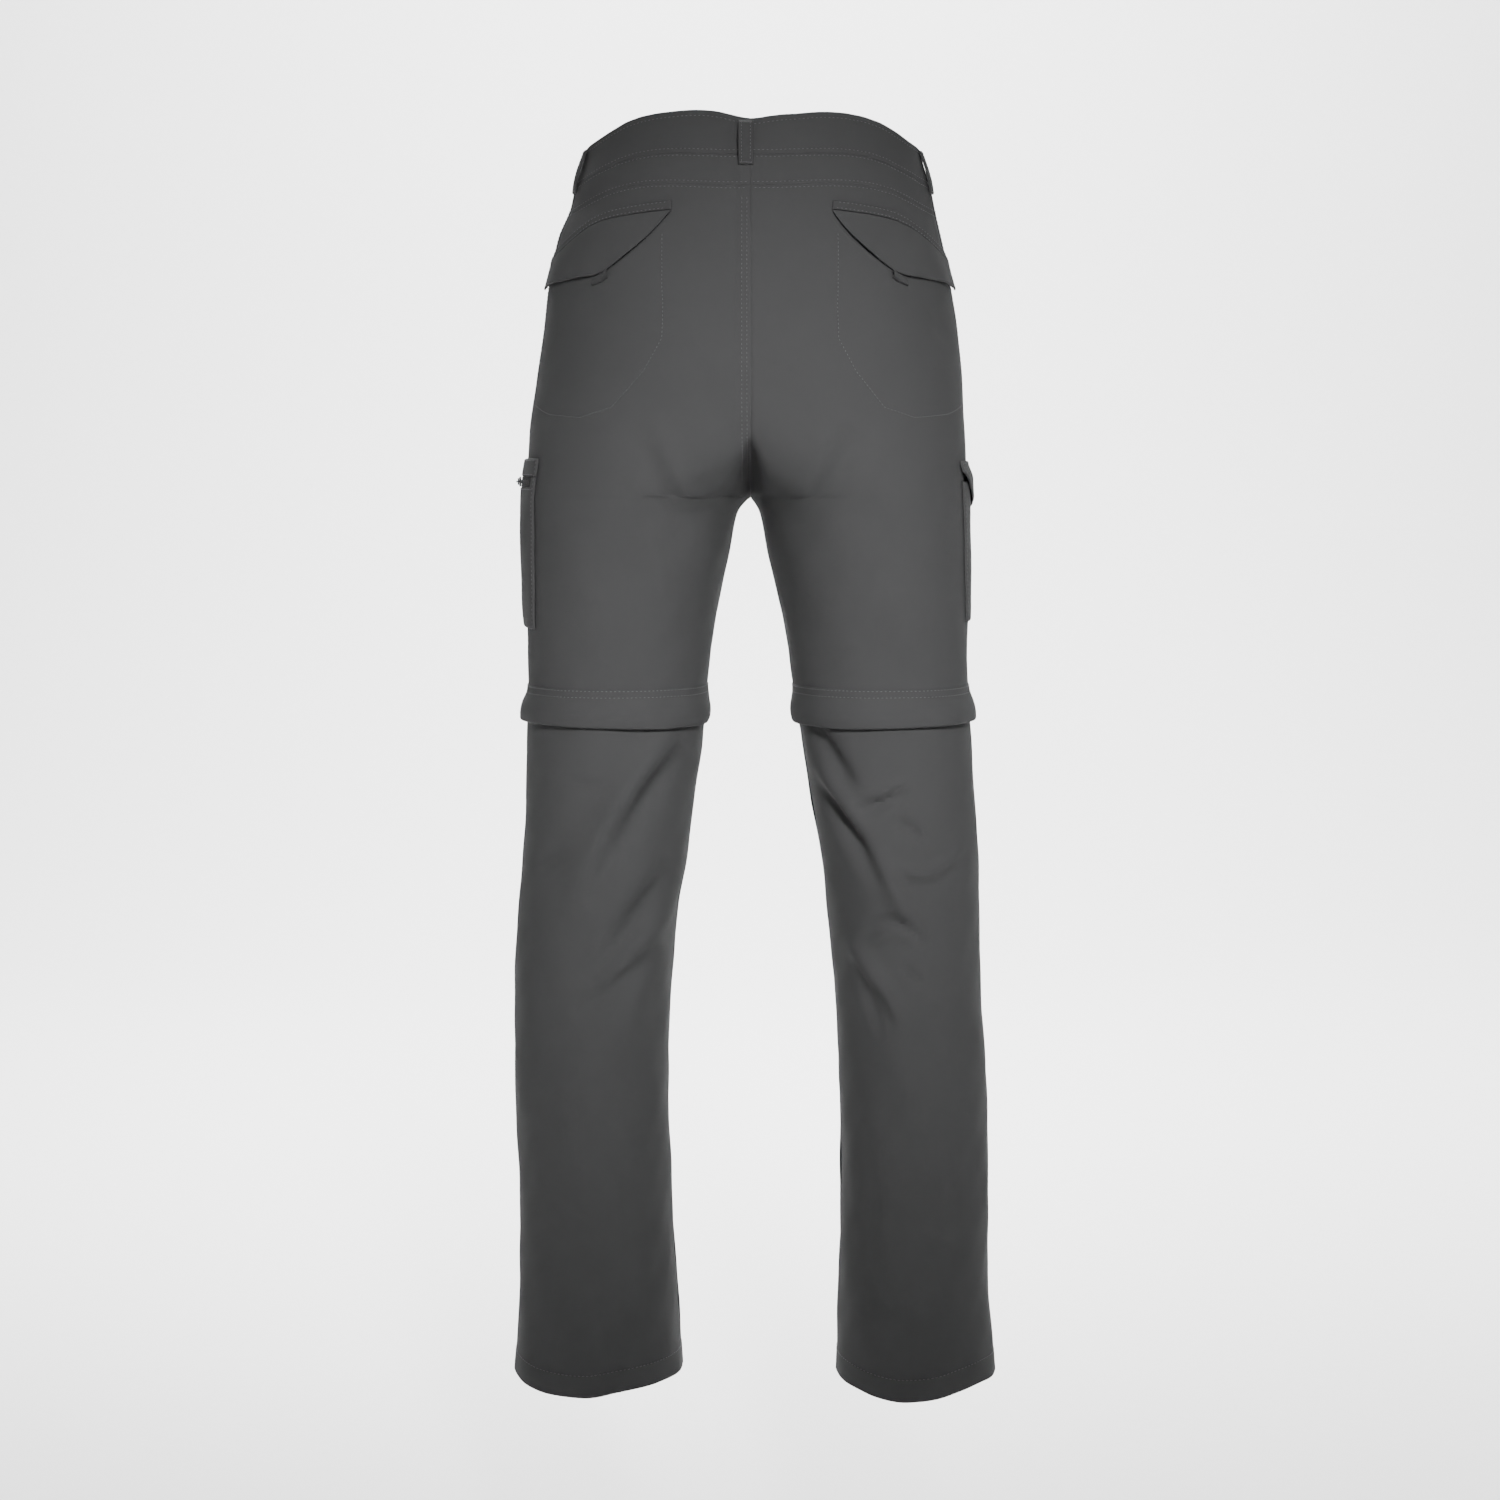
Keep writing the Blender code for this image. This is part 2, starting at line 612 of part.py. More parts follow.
def add_zip_pocket():
    """Left cargo pocket: a top strip, a zip tape and the bag panel round and below it."""
    side = 1
    ends = [(ZIP_POCKET_BACK[0] - end) / ZIP_POCKET_WIDTH for end in (ZIP_BACK, ZIP_FRONT)]
    inside = np.linspace(ends[0], ends[1], 10)
    share = np.concatenate([[0.0, ends[0] - ZIP_CORNER], inside, [ends[1] + ZIP_CORNER, 1.0]])[None, :]
    columns = share.shape[1]

    levels = np.linspace(ZIP_POCKET_TOP, ZIP_HEIGHT + ZIP_HALF + HALF_SEAM, 3)
    heights = levels[:, None] * np.ones((1, columns))
    distance, lift = zip_pocket_grid(share, heights)
    patch("cargo_pocket_left_top", "cloth", side,
          angle_at(side, distance, heights), heights, lift, FLAP_WALL)

    tape = np.linspace(ends[0] + ZIP_CORNER, ends[1] - ZIP_CORNER, 10)[None, :]
    rows = np.array([ZIP_HALF - HALF_SEAM, COIL_FOOT, COIL_HALF,
                     -COIL_HALF, -COIL_FOOT, HALF_SEAM - ZIP_HALF])[:, None]
    coil = np.array([0.0, 0.0, COIL_STAND, COIL_STAND, 0.0, 0.0])[:, None]
    heights = ZIP_HEIGHT + rows * np.ones((1, tape.shape[1]))
    distance, lift = zip_pocket_grid(tape, heights)
    patch("cargo_zip_tape", "zip_tape", side,
          angle_at(side, distance, heights), heights, lift, TAPE_WALL + coil)

    beside = (share[0] < ends[0]) | (share[0] > ends[1])
    top = np.where(beside, ZIP_HEIGHT + ZIP_HALF - HALF_SEAM, ZIP_HEIGHT - ZIP_HALF - HALF_SEAM)
    down = np.linspace(0, 1, 8)[:, None]
    heights = top * (1 - down) + ZIP_POCKET_FOOT * down
    distance, lift = zip_pocket_grid(share, heights)
    patch("cargo_pocket_left", "cloth", side, angle_at(side, distance, heights), heights, lift, FLAP_WALL)


def add_flap_pocket():
    """Right cargo pocket: a bag panel with a pointed flap over its mouth."""
    side = -1
    share = np.linspace(0, 1, 11)[None, :]
    heights = np.linspace(FLAP_POCKET_TOP, FLAP_POCKET_FOOT, 8)[:, None] * np.ones((1, 11))
    down = (FLAP_POCKET_TOP - heights) / (FLAP_POCKET_TOP - FLAP_POCKET_FOOT)
    back = FLAP_POCKET_BACK[0] * (1 - down) + FLAP_POCKET_BACK[1] * down
    distance = back - FLAP_POCKET_WIDTH * share
    lift = LIFT + pocket_swell(distance, heights, back, back - FLAP_POCKET_WIDTH,
                               FLAP_POCKET_TOP, FLAP_POCKET_FOOT, CARGO_BULGE)
    patch("cargo_pocket_right", "cloth", side, angle_at(side, distance, heights), heights, lift, FLAP_WALL)

    distance = np.linspace(CARGO_FLAP[0][0], CARGO_FLAP[-1][0], 13)
    top, foot = flap_edges(CARGO_FLAP, distance)
    stand = np.array([0.0, 0.45, 1.0, 1.0, 1.0])[:, None]
    neck = FLAP_POCKET_TOP + CARGO_FLAP_NECK
    heights = np.stack([top, (top + neck) / 2, np.maximum(np.full(13, neck), foot + 0.003),
                        np.maximum((neck + foot) / 2, foot + 0.0015), foot])
    angles = angle_at(side, distance * np.ones(heights.shape), heights)
    patch("cargo_flap_right", "cloth", side, angles, heights, LIFT + CARGO_FLAP_STAND * stand, FLAP_WALL)


def local_frame(side, distance, height, lift):
    """Point over the cloth with its forward, outward and up directions, for a hard piece that lies there."""
    angle = angle_at(side, np.array(distance), np.array(height))
    sides = np.array(side)
    point = skin(sides, angle, np.array(height), np.array(lift))
    out = outward(sides, angle, np.array(height))
    out = np.array([out[0], out[1], 0.0])
    out /= np.linalg.norm(out)
    up = np.array([0.0, 0.0, 1.0])
    forward = np.cross(up, out) * -side
    return point, forward, out, up


def block(frame, low, high):
    """Closed box between two corners given as forward, outward and up distances from a frame's point."""
    point, forward, out, up = frame
    shape = bmesh.new()
    bmesh.ops.create_cube(shape, size=1.0)
    for vertex in shape.verts:
        share = [0.5 + value for value in vertex.co]
        f, o, u = (low[k] + (high[k] - low[k]) * share[k] for k in range(3))
        vertex.co = tuple(point + forward * f + out * o + up * u)
    bmesh.ops.recalc_face_normals(shape, faces=shape.faces)
    mesh = bpy.data.meshes.new("block")
    shape.to_mesh(mesh)
    shape.free()
    return mesh


def pin(frame, radius, half_length, rise):
    """Round bar along the up direction."""
    point, forward, out, up = frame
    shape = bmesh.new()
    bmesh.ops.create_cone(shape, cap_ends=True, segments=16, radius1=radius, radius2=radius,
                          depth=2 * half_length)
    for vertex in shape.verts:
        f, o, u = vertex.co
        vertex.co = tuple(point + forward * f + out * (o + rise) + up * u)
    bmesh.ops.recalc_face_normals(shape, faces=shape.faces)
    mesh = bpy.data.meshes.new("pin")
    shape.to_mesh(mesh)
    shape.free()
    return mesh


def helper(mesh):
    obj = bpy.data.objects.new("helper", mesh)
    bpy.context.scene.collection.objects.link(obj)
    obj.hide_render = True
    obj.display_type = "WIRE"
    return obj


def combine(obj, mesh, operation):
    change = obj.modifiers.new(operation.lower(), "BOOLEAN")
    change.operation = operation
    change.object = helper(mesh)


def add_slider(frame):
    half = SLIDER_LENGTH / 2
    slider = add_object("cargo_zip_slider",
                        block(frame, (-half, 0.0, -SLIDER_WIDTH / 2), (half, SLIDER_PLATE, SLIDER_WIDTH / 2)),
                        "zip_metal")
    crown = block(frame, (-CROWN_LENGTH / 2, SLIDER_PLATE / 2, -CROWN_WIDTH / 2),
                  (CROWN_LENGTH / 2, SLIDER_PLATE + CROWN_RISE, CROWN_WIDTH / 2))
    slot = block(frame, (-CROWN_LENGTH / 2 + CROWN_POST, SLIDER_PLATE, -CROWN_WIDTH),
                 (CROWN_LENGTH / 2 - CROWN_POST, SLIDER_PLATE + CROWN_SLOT, CROWN_WIDTH))
    combine(slider, crown, "UNION")
    combine(slider, slot, "DIFFERENCE")


def add_pull(frame):
    """Pull tab whose round pin lies under the slider's crown, pointing forward along the zip."""
    rise = SLIDER_PLATE + CROWN_SLOT / 2
    start = CROWN_LENGTH / 2 - CROWN_POST - PIN_RADIUS - PIN_SLACK
    point, forward, out, up = frame
    hinge = point + forward * start + out * rise
    local = (hinge, forward, out, up)
    half, thick = PULL_WIDTH / 2, PIN_RADIUS
    pull = add_object("cargo_zip_pull",
                      block(local, (PULL_EYE, -thick, -half), (PULL_LENGTH, thick, half)), "zip_metal")
    for low, high in ((-half, -half + PULL_BAR), (half - PULL_BAR, half)):
        combine(pull, block(local, (0.0, -thick * 0.9, low), (PULL_EYE + 0.001, thick * 0.9, high)), "UNION")
    combine(pull, pin(local, PIN_RADIUS, half - 0.00005, 0.0), "UNION")
    hinge_mark = bpy.data.objects.new("cargo_zip_pull_hinge", None)
    hinge_mark.location = tuple(hinge)
    bpy.context.scene.collection.objects.link(hinge_mark)
    pull.parent = hinge_mark
    pull.matrix_parent_inverse.translation = tuple(-hinge)


def add_cargo_zip_fastener():
    share = (ZIP_POCKET_BACK[0] - SLIDER_PLACE) / ZIP_POCKET_WIDTH
    _, lift = zip_pocket_grid(np.array(share), np.array(ZIP_HEIGHT))
    frame = local_frame(1, SLIDER_PLACE, ZIP_HEIGHT, float(lift) + TAPE_WALL + COIL_STAND + SEAM)
    add_slider(frame)
    add_pull(frame)


def ring_angles(side, heights):
    """Angles all round a leg, at the columns of its panels."""
    share = np.linspace(0, 1, PANEL_COLUMNS + 1)
    back = share * math.pi
    front = -share[1:-1][::-1] * math.pi
    return np.concatenate([back, front])[None, :] * np.ones((len(heights), 1))


def add_knee(side):
    """Storm flap round the knee, the zip under it and the zip's slider."""
    word = side_word(side)
    rows = np.array(KNEE_FLAP)
    heights, lift = rows[:, :1], rows[:, 1:]
    angles = ring_angles(side, heights)
    patch("knee_flap_" + word, "cloth", side, angles, heights, lift, FLAP_WALL, ring=True)

    rows = np.array([KNEE_ZIP_HALF, KNEE_COIL_FOOT, KNEE_COIL_HALF,
                     -KNEE_COIL_HALF, -KNEE_COIL_FOOT, -KNEE_ZIP_HALF])[:, None]
    coil = np.array([0.0, 0.0, KNEE_COIL, KNEE_COIL, 0.0, 0.0])[:, None]
    heights = KNEE + rows
    angles = ring_angles(side, heights)
    patch("knee_zip_" + word, "zip_tape", side, angles, heights, -WALL, WALL + coil, ring=True)

    heights = KNEE + np.linspace(KNEE_SLIDER_HEIGHT / 2, -KNEE_SLIDER_HEIGHT / 2, 3)[:, None]
    turn = KNEE_SLIDER_WIDTH / KNEE_REACH
    angles = KNEE_SLIDER_ANGLE + np.linspace(-turn / 2, turn / 2, 4)[None, :]
    patch("knee_slider_" + word, "zip_metal", side, angles, heights, KNEE_COIL + SEAM, KNEE_SLIDER_WALL)


def add_lower_leg(side, face):
    top = KNEE - KNEE_ZIP_HALF - SEAM
    calf = np.linspace(top, CALF_FOOT, CALF_LEVELS)
    shin = np.linspace(CALF_FOOT, HEM, SHIN_LEVELS)[1:]
    heights = np.concatenate([calf, shin])[:, None] * np.ones((1, PANEL_COLUMNS + 1))
    angles = panel_angles(side, face, heights, face * HALF_SEAM / KNEE_REACH)
    name = ("lower_back_" if face > 0 else "lower_front_") + side_word(side)
    patch(name, "cloth", side, angles, heights, -WALL, WALL)


def add_button():
    """Flat round button at the centre front of the waistband."""
    sides = np.array(1)
    angle = -math.pi / 2 + BUTTON_PLACE / WAIST_REACH
    height = (edge(RIM, np.array(angle)) + edge(BAND_FOOT, np.array(angle))) / 2
    point = skin(sides, np.array(angle), height, np.array(SEAM))
    normal = outward(sides, np.array(angle), height)
    bpy.ops.mesh.primitive_cylinder_add(vertices=20, radius=BUTTON_RADIUS, depth=BUTTON_HEIGHT)
    button = bpy.context.object
    button.name = "waist_button"
    button.data.materials.append(finish("waist_button", "button"))
    lean = math.atan2(-normal[2], math.hypot(normal[0], normal[1]))
    turn = math.atan2(normal[0], -normal[1])
    button.rotation_euler = (math.pi / 2 + lean, 0.0, turn)
    button.location = tuple(point + normal * (BUTTON_HEIGHT / 2 + LIFT))
    softened = button.modifiers.new("softened", "BEVEL")
    softened.width = BUTTON_EDGE
    softened.segments = 1
    button.data.shade_smooth()
    button.data.set_sharp_from_angle(angle=math.radians(40))


def main():
    clear_scene()
    add_waistband()
    for side in (1, -1):
        add_yoke(side)
        add_back(side)
        add_front(side)
        add_hand_pocket(side)
        add_back_pocket(side)
        add_knee(side)
        for face in (1, -1):
            add_lower_leg(side, face)
    for row in LOOPS:
        add_belt_loop(*row)
    add_zip_pocket()
    add_flap_pocket()
    add_cargo_zip_fastener()
    add_button()


main()
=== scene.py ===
"""Zip-off trousers in charcoal nylon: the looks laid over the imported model.

Every piece of cloth is a thin shell over one body form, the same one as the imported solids: angle 0 is the
outside of a leg, positive angles go round the back to the inside, negative angles go round the front.
"""

import math

import bmesh
import bpy
import numpy as np
from bpy.props import FloatProperty, FloatVectorProperty, PointerProperty
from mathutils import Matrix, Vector


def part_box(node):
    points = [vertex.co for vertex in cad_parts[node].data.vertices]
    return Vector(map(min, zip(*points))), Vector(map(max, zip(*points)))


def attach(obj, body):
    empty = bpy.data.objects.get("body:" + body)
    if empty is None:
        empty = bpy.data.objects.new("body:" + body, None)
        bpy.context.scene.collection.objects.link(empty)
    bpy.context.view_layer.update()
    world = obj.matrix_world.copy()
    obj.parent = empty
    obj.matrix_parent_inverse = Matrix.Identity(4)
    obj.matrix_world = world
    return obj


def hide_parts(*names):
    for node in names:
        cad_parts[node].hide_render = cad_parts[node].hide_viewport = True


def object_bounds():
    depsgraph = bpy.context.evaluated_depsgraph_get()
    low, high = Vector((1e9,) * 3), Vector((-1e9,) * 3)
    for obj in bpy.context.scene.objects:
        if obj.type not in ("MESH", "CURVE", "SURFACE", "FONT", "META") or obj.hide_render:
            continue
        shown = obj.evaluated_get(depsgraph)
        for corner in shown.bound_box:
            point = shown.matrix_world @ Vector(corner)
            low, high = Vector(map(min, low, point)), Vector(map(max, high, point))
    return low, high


bl_info = {
    "name": "Zip-off Trousers",
    "version": (1, 0, 0),
    "blender": (4, 5, 0),
    "location": "View3D > Sidebar > Trousers",
    "description": "Sews, stitches and lights a pair of filled-out zip-off trousers",
    "category": "Object",
}

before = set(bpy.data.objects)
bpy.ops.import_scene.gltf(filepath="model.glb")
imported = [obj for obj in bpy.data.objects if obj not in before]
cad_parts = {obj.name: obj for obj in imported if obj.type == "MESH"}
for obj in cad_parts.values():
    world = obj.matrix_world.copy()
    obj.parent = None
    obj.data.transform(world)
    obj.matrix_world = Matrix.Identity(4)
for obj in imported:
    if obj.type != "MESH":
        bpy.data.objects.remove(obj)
CAD_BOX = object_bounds()
BODY = "trousers"

# Sizes shared with the solids, in metres
SEAM = 0.0003
HALF_SEAM = SEAM / 2
WALL = 0.0015
BAND_WALL = 0.0025
FLAP_WALL = 0.0016
LIFT = 0.0005
CROTCH = -0.276
KNEE = -0.4625
HEM = -1.060
SQUARENESS = 2.2
WAIST_REACH = 0.147
HIP_REACH = 0.110
KNEE_ZIP_HALF = 0.0057

# Waist edges: height at the side, at the centre back and at the centre front
RIM = {"side": 0.0200, "back": 0.0430, "front": -0.0080}
BAND_FOOT = {"side": -0.0130, "back": 0.0080, "front": -0.0400}
YOKE_FOOT = {"side": -0.0360, "back": -0.0172, "front": -0.0360}
# Rise of every waist edge at the back: distance out from the centre, height
ROUNDING = ((0.000, 0.0000), (0.020, 0.0002), (0.040, 0.0020), (0.062, 0.0048), (0.082, 0.0072),
            (0.098, 0.0082), (0.112, 0.0076), (0.126, 0.0046), (0.138, 0.0014), (0.147, 0.0))
# Uneven top of the waistband at the back: height, place from the centre, half width
RIM_WAVES = ((0.0014, 0.042, 0.022), (-0.0016, -0.034, 0.020), (-0.0050, 0.0, 0.018))

# Outside of each leg and hip: height, left half, right half
WIDTHS = (
    (0.060, 0.1340, 0.1390),
    (0.015, 0.1415, 0.1475),
    (-0.010, 0.1500, 0.1545),
    (-0.030, 0.1550, 0.1590),
    (-0.055, 0.1655, 0.1655),
    (-0.090, 0.1735, 0.1735),
    (-0.155, 0.1810, 0.1815),
    (-0.225, 0.1915, 0.1860),
    (-0.290, 0.1945, 0.1885),
    (-0.430, 0.1945, 0.1910),
    (-0.520, 0.1960, 0.1955),
    (-0.600, 0.2003, 0.2010),
    (-0.700, 0.2078, 0.2034),
    (-0.775, 0.2088, 0.2095),
    (-0.880, 0.2052, 0.2113),
    (-0.960, 0.2046, 0.2120),
    (-1.065, 0.2115, 0.2205),
)
# Inside of each leg: height, left leg, right leg
INSIDES = (
    (-0.276, 0.0005, 0.0005),
    (-0.290, 0.0115, 0.0090),
    (-0.330, 0.0200, 0.0175),
    (-0.400, 0.0331, 0.0325),
    (-0.436, 0.0377, 0.0377),
    (-0.490, 0.0418, 0.0460),
    (-0.540, 0.0502, 0.0545),
    (-0.595, 0.0555, 0.0635),
    (-0.635, 0.0640, 0.0683),
    (-0.700, 0.0690, 0.0744),
    (-0.775, 0.0728, 0.0790),
    (-0.880, 0.0704, 0.0811),
    (-0.960, 0.0660, 0.0796),
    (-1.065, 0.0595, 0.0770),
)
# Inner edge of each side's oval as a share of its outside, from the trunk down to the crotch
SPREAD = (
    (-0.130, -1.0000),
    (-0.150, -0.9850),
    (-0.175, -0.9000),
    (-0.200, -0.7200),
    (-0.222, -0.5000),
    (-0.240, -0.3200),
    (-0.254, -0.1900),
    (-0.264, -0.0950),
    (-0.271, -0.0360),
    (-0.276, 0.0026),
)
# Reach to the front and to the back: height, front, back
DEPTHS = (
    (0.060, 0.0990, 0.0990),
    (-0.020, 0.1080, 0.1080),
    (-0.060, 0.1130, 0.1150),
    (-0.110, 0.1160, 0.1240),
    (-0.170, 0.1140, 0.1300),
    (-0.230, 0.1070, 0.1260),
    (-0.277, 0.1000, 0.1170),
    (-0.350, 0.0920, 0.1010),
    (-0.440, 0.0830, 0.0860),
    (-0.520, 0.0780, 0.0820),
    (-0.600, 0.0730, 0.0840),
    (-0.700, 0.0680, 0.0830),
    (-0.800, 0.0630, 0.0780),
    (-0.950, 0.0570, 0.0710),
    (-1.065, 0.0550, 0.0700),
)

# Creases as seen square on: side, face, start, middle and end as x out from the centre line and z,
# then height over the cloth (negative for a trough) and half width
CREASES = (
    # Back of the left calf
    (1, 1, 0.062, -0.476, 0.102, -0.523, 0.160, -0.635, 0.0088, 0.0140),
    (1, 1, 0.052, -0.488, 0.088, -0.530, 0.142, -0.622, -0.0084, 0.0110),
    (1, 1, 0.062, -0.592, 0.089, -0.624, 0.138, -0.692, -0.0070, 0.0095),
    (1, 1, 0.060, -0.622, 0.095, -0.657, 0.134, -0.692, 0.0063, 0.0100),
    (1, 1, 0.078, -0.662, 0.118, -0.695, 0.152, -0.722, -0.0049, 0.0085),
    (1, 1, 0.078, -0.660, 0.097, -0.706, 0.118, -0.760, 0.0035, 0.0130),
    (1, 1, 0.112, -0.522, 0.140, -0.519, 0.170, -0.524, -0.0014, 0.0040),
    (1, 1, 0.070, -0.860, 0.069, -0.935, 0.092, -0.962, -0.0028, 0.0100),
    (1, 1, 0.178, -0.875, 0.150, -0.893, 0.126, -0.912, -0.0021, 0.0080),
    (1, 1, 0.140, -0.740, 0.150, -0.830, 0.146, -0.930, 0.0028, 0.0200),
    (1, 1, 0.100, -0.960, 0.112, -0.990, 0.132, -1.010, -0.0018, 0.0080),
    (1, 1, 0.150, -0.560, 0.172, -0.585, 0.188, -0.590, -0.0025, 0.0070),
    # Back of the right calf
    (-1, 1, 0.048, -0.464, 0.069, -0.495, 0.090, -0.530, -0.0071, 0.0072),
    (-1, 1, 0.048, -0.500, 0.084, -0.538, 0.102, -0.572, 0.0069, 0.0090),
    (-1, 1, 0.098, -0.566, 0.126, -0.614, 0.152, -0.652, 0.0083, 0.0099),
    (-1, 1, 0.050, -0.508, 0.082, -0.558, 0.124, -0.620, -0.0091, 0.0077),
    (-1, 1, 0.088, -0.541, 0.112, -0.533, 0.134, -0.521, -0.0045, 0.0043),
    (-1, 1, 0.092, -0.533, 0.114, -0.525, 0.130, -0.516, 0.0027, 0.0047),
    (-1, 1, 0.124, -0.547, 0.138, -0.558, 0.150, -0.571, -0.0045, 0.0043),
    (-1, 1, 0.122, -0.586, 0.158, -0.594, 0.192, -0.562, 0.0027, 0.0052),
    (-1, 1, 0.120, -0.596, 0.156, -0.604, 0.186, -0.580, -0.0027, 0.0052),
    (-1, 1, 0.098, -0.650, 0.124, -0.636, 0.150, -0.657, -0.0041, 0.0043),
    (-1, 1, 0.102, -0.660, 0.124, -0.646, 0.146, -0.662, 0.0027, 0.0043),
    (-1, 1, 0.084, -0.652, 0.108, -0.686, 0.132, -0.724, 0.0067, 0.0081),
    (-1, 1, 0.090, -0.676, 0.104, -0.708, 0.114, -0.742, -0.0041, 0.0057),
    (-1, 1, 0.104, -0.690, 0.116, -0.712, 0.122, -0.736, -0.0027, 0.0038),
    (-1, 1, 0.128, -0.668, 0.138, -0.684, 0.152, -0.690, -0.0022, 0.0043),
    (-1, 1, 0.102, -0.820, 0.106, -0.920, 0.112, -1.010, -0.0027, 0.0076),
    (-1, 1, 0.128, -0.750, 0.142, -0.800, 0.150, -0.860, 0.0031, 0.0171),
    (-1, 1, 0.150, -0.905, 0.170, -0.920, 0.190, -0.925, -0.0022, 0.0076),
    (-1, 1, 0.094, -0.960, 0.116, -0.978, 0.134, -0.984, -0.0020, 0.0066),
    # Seat and backs of the thighs
    (1, 1, 0.078, -0.205, 0.066, -0.245, 0.040, -0.284, 0.0026, 0.0110),
    (1, 1, 0.082, -0.228, 0.069, -0.282, 0.048, -0.332, -0.0030, 0.0120),
    (-1, 1, 0.078, -0.200, 0.055, -0.250, 0.032, -0.292, 0.0030, 0.0110),
    (-1, 1, 0.088, -0.218, 0.066, -0.262, 0.026, -0.318, -0.0036, 0.0115),
    (1, 1, 0.052, -0.150, 0.030, -0.200, 0.010, -0.240, -0.0010, 0.0120),
    (-1, 1, 0.070, -0.178, 0.038, -0.218, 0.012, -0.246, -0.0012, 0.0110),
    (1, 1, 0.090, -0.300, 0.075, -0.345, 0.060, -0.380, 0.0012, 0.0150),
    (-1, 1, 0.096, -0.290, 0.080, -0.340, 0.058, -0.385, 0.0014, 0.0160),
    (-1, 1, 0.148, -0.112, 0.160, -0.132, 0.175, -0.146, -0.0012, 0.0045),
    (1, 1, 0.125, -0.330, 0.135, -0.380, 0.130, -0.425, 0.0010, 0.0200),
    (-1, 1, 0.130, -0.320, 0.128, -0.370, 0.136, -0.420, 0.0010, 0.0200),
    # Fronts of the calves and knees
    (1, -1, 0.070, -0.490, 0.108, -0.545, 0.145, -0.600, -0.0045, 0.0125),
    (1, -1, 0.072, -0.545, 0.112, -0.600, 0.156, -0.665, 0.0040, 0.0130),
    (1, -1, 0.064, -0.650, 0.098, -0.692, 0.134, -0.725, -0.0035, 0.0110),
    (1, -1, 0.120, -0.500, 0.142, -0.512, 0.168, -0.508, -0.0016, 0.0060),
    (1, -1, 0.130, -0.560, 0.150, -0.574, 0.172, -0.570, 0.0014, 0.0060),
    (1, -1, 0.150, -0.760, 0.148, -0.850, 0.140, -0.940, 0.0014, 0.0200),
    (1, -1, 0.086, -0.940, 0.110, -0.962, 0.140, -0.970, -0.0012, 0.0080),
    (-1, -1, 0.068, -0.498, 0.108, -0.555, 0.142, -0.606, -0.0045, 0.0125),
    (-1, -1, 0.074, -0.560, 0.118, -0.610, 0.156, -0.648, 0.0040, 0.0130),
    (-1, -1, 0.078, -0.655, 0.112, -0.702, 0.144, -0.740, -0.0035, 0.0110),
    (-1, -1, 0.112, -0.506, 0.138, -0.520, 0.166, -0.514, -0.0016, 0.0060),
    (-1, -1, 0.150, -0.770, 0.154, -0.860, 0.150, -0.950, 0.0014, 0.0200),
    (-1, -1, 0.100, -0.950, 0.128, -0.968, 0.160, -0.972, -0.0012, 0.0080),
    # Lap and fronts of the thighs
    (1, -1, 0.014, -0.248, 0.048, -0.214, 0.092, -0.184, -0.0036, 0.0105),
    (-1, -1, 0.014, -0.252, 0.050, -0.222, 0.096, -0.196, -0.0036, 0.0105),
    (1, -1, 0.016, -0.270, 0.050, -0.258, 0.090, -0.246, -0.0028, 0.0085),
    (-1, -1, 0.016, -0.268, 0.044, -0.252, 0.080, -0.238, -0.0028, 0.0085),
    (1, -1, 0.020, -0.236, 0.054, -0.202, 0.094, -0.170, 0.0020, 0.0090),
    (-1, -1, 0.020, -0.240, 0.056, -0.208, 0.098, -0.182, 0.0020, 0.0090),
    (1, -1, 0.100, -0.300, 0.098, -0.350, 0.104, -0.410, 0.0012, 0.0180),
    (-1, -1, 0.102, -0.300, 0.106, -0.355, 0.100, -0.415, 0.0012, 0.0180),
)
# Hollow where the legs meet: share of the depth that it takes, its top and its half width at top and foot
HOLLOW_SHARE = 0.48
HOLLOW_TOP = -0.222
HOLLOW_FULL = -0.268
HOLLOW_WIDTHS = (0.0025, 0.0090)
# Soft unevenness of the whole cloth: height, then waves per metre across and up, and phase
SWELLS = (
    (0.00045, 5.0, 3.0, 0.3),
    (0.00035, -8.0, 6.0, 1.7),
    (0.00025, 13.0, 9.0, 4.1),
    (0.00018, -17.0, 19.0, 2.6),
)

# Side seam, which sits a little behind the outside of the hip, and the hand pocket's mouth in it
SEAM_TURN = 0.20
SEAM_TURN_TOP = -0.030
SEAM_TURN_FOOT = -0.230
MOUTH_TOP = -0.020
MOUTH_WIDEST = -0.036
MOUTH_FOOT = -0.185
MOUTH_GAPE = 0.0060
FACING_FRONT = 0.030
FACING_BACK = 0.014
FACING_WALL = 0.0010
FACING_GAP = 0.0011

UNDERLAP = 0.042
OVERLAP = 0.006
UNDERLAP_RAMP = 0.030
UNDERLAP_FLAT = 0.036
BUTTON_RADIUS = 0.0085
BUTTON_HEIGHT = 0.0030
BUTTON_PLACE = 0.012

# Belt loops: node, side, distance of the middle from the side of the hip
LOOPS = (
    ("belt_loop_back", 1, 0.1975),
    ("belt_loop_side_left", 1, 0.0250),
    ("belt_loop_side_right", -1, 0.0230),
    ("belt_loop_front_left", 1, -0.0950),
    ("belt_loop_front_right", -1, -0.0950),
)
LOOP_TOP = 0.0025
LOOP_LENGTH = 0.0365
LOOP_STAND = 0.0024
BACK_LOOP_OUT = 0.0034

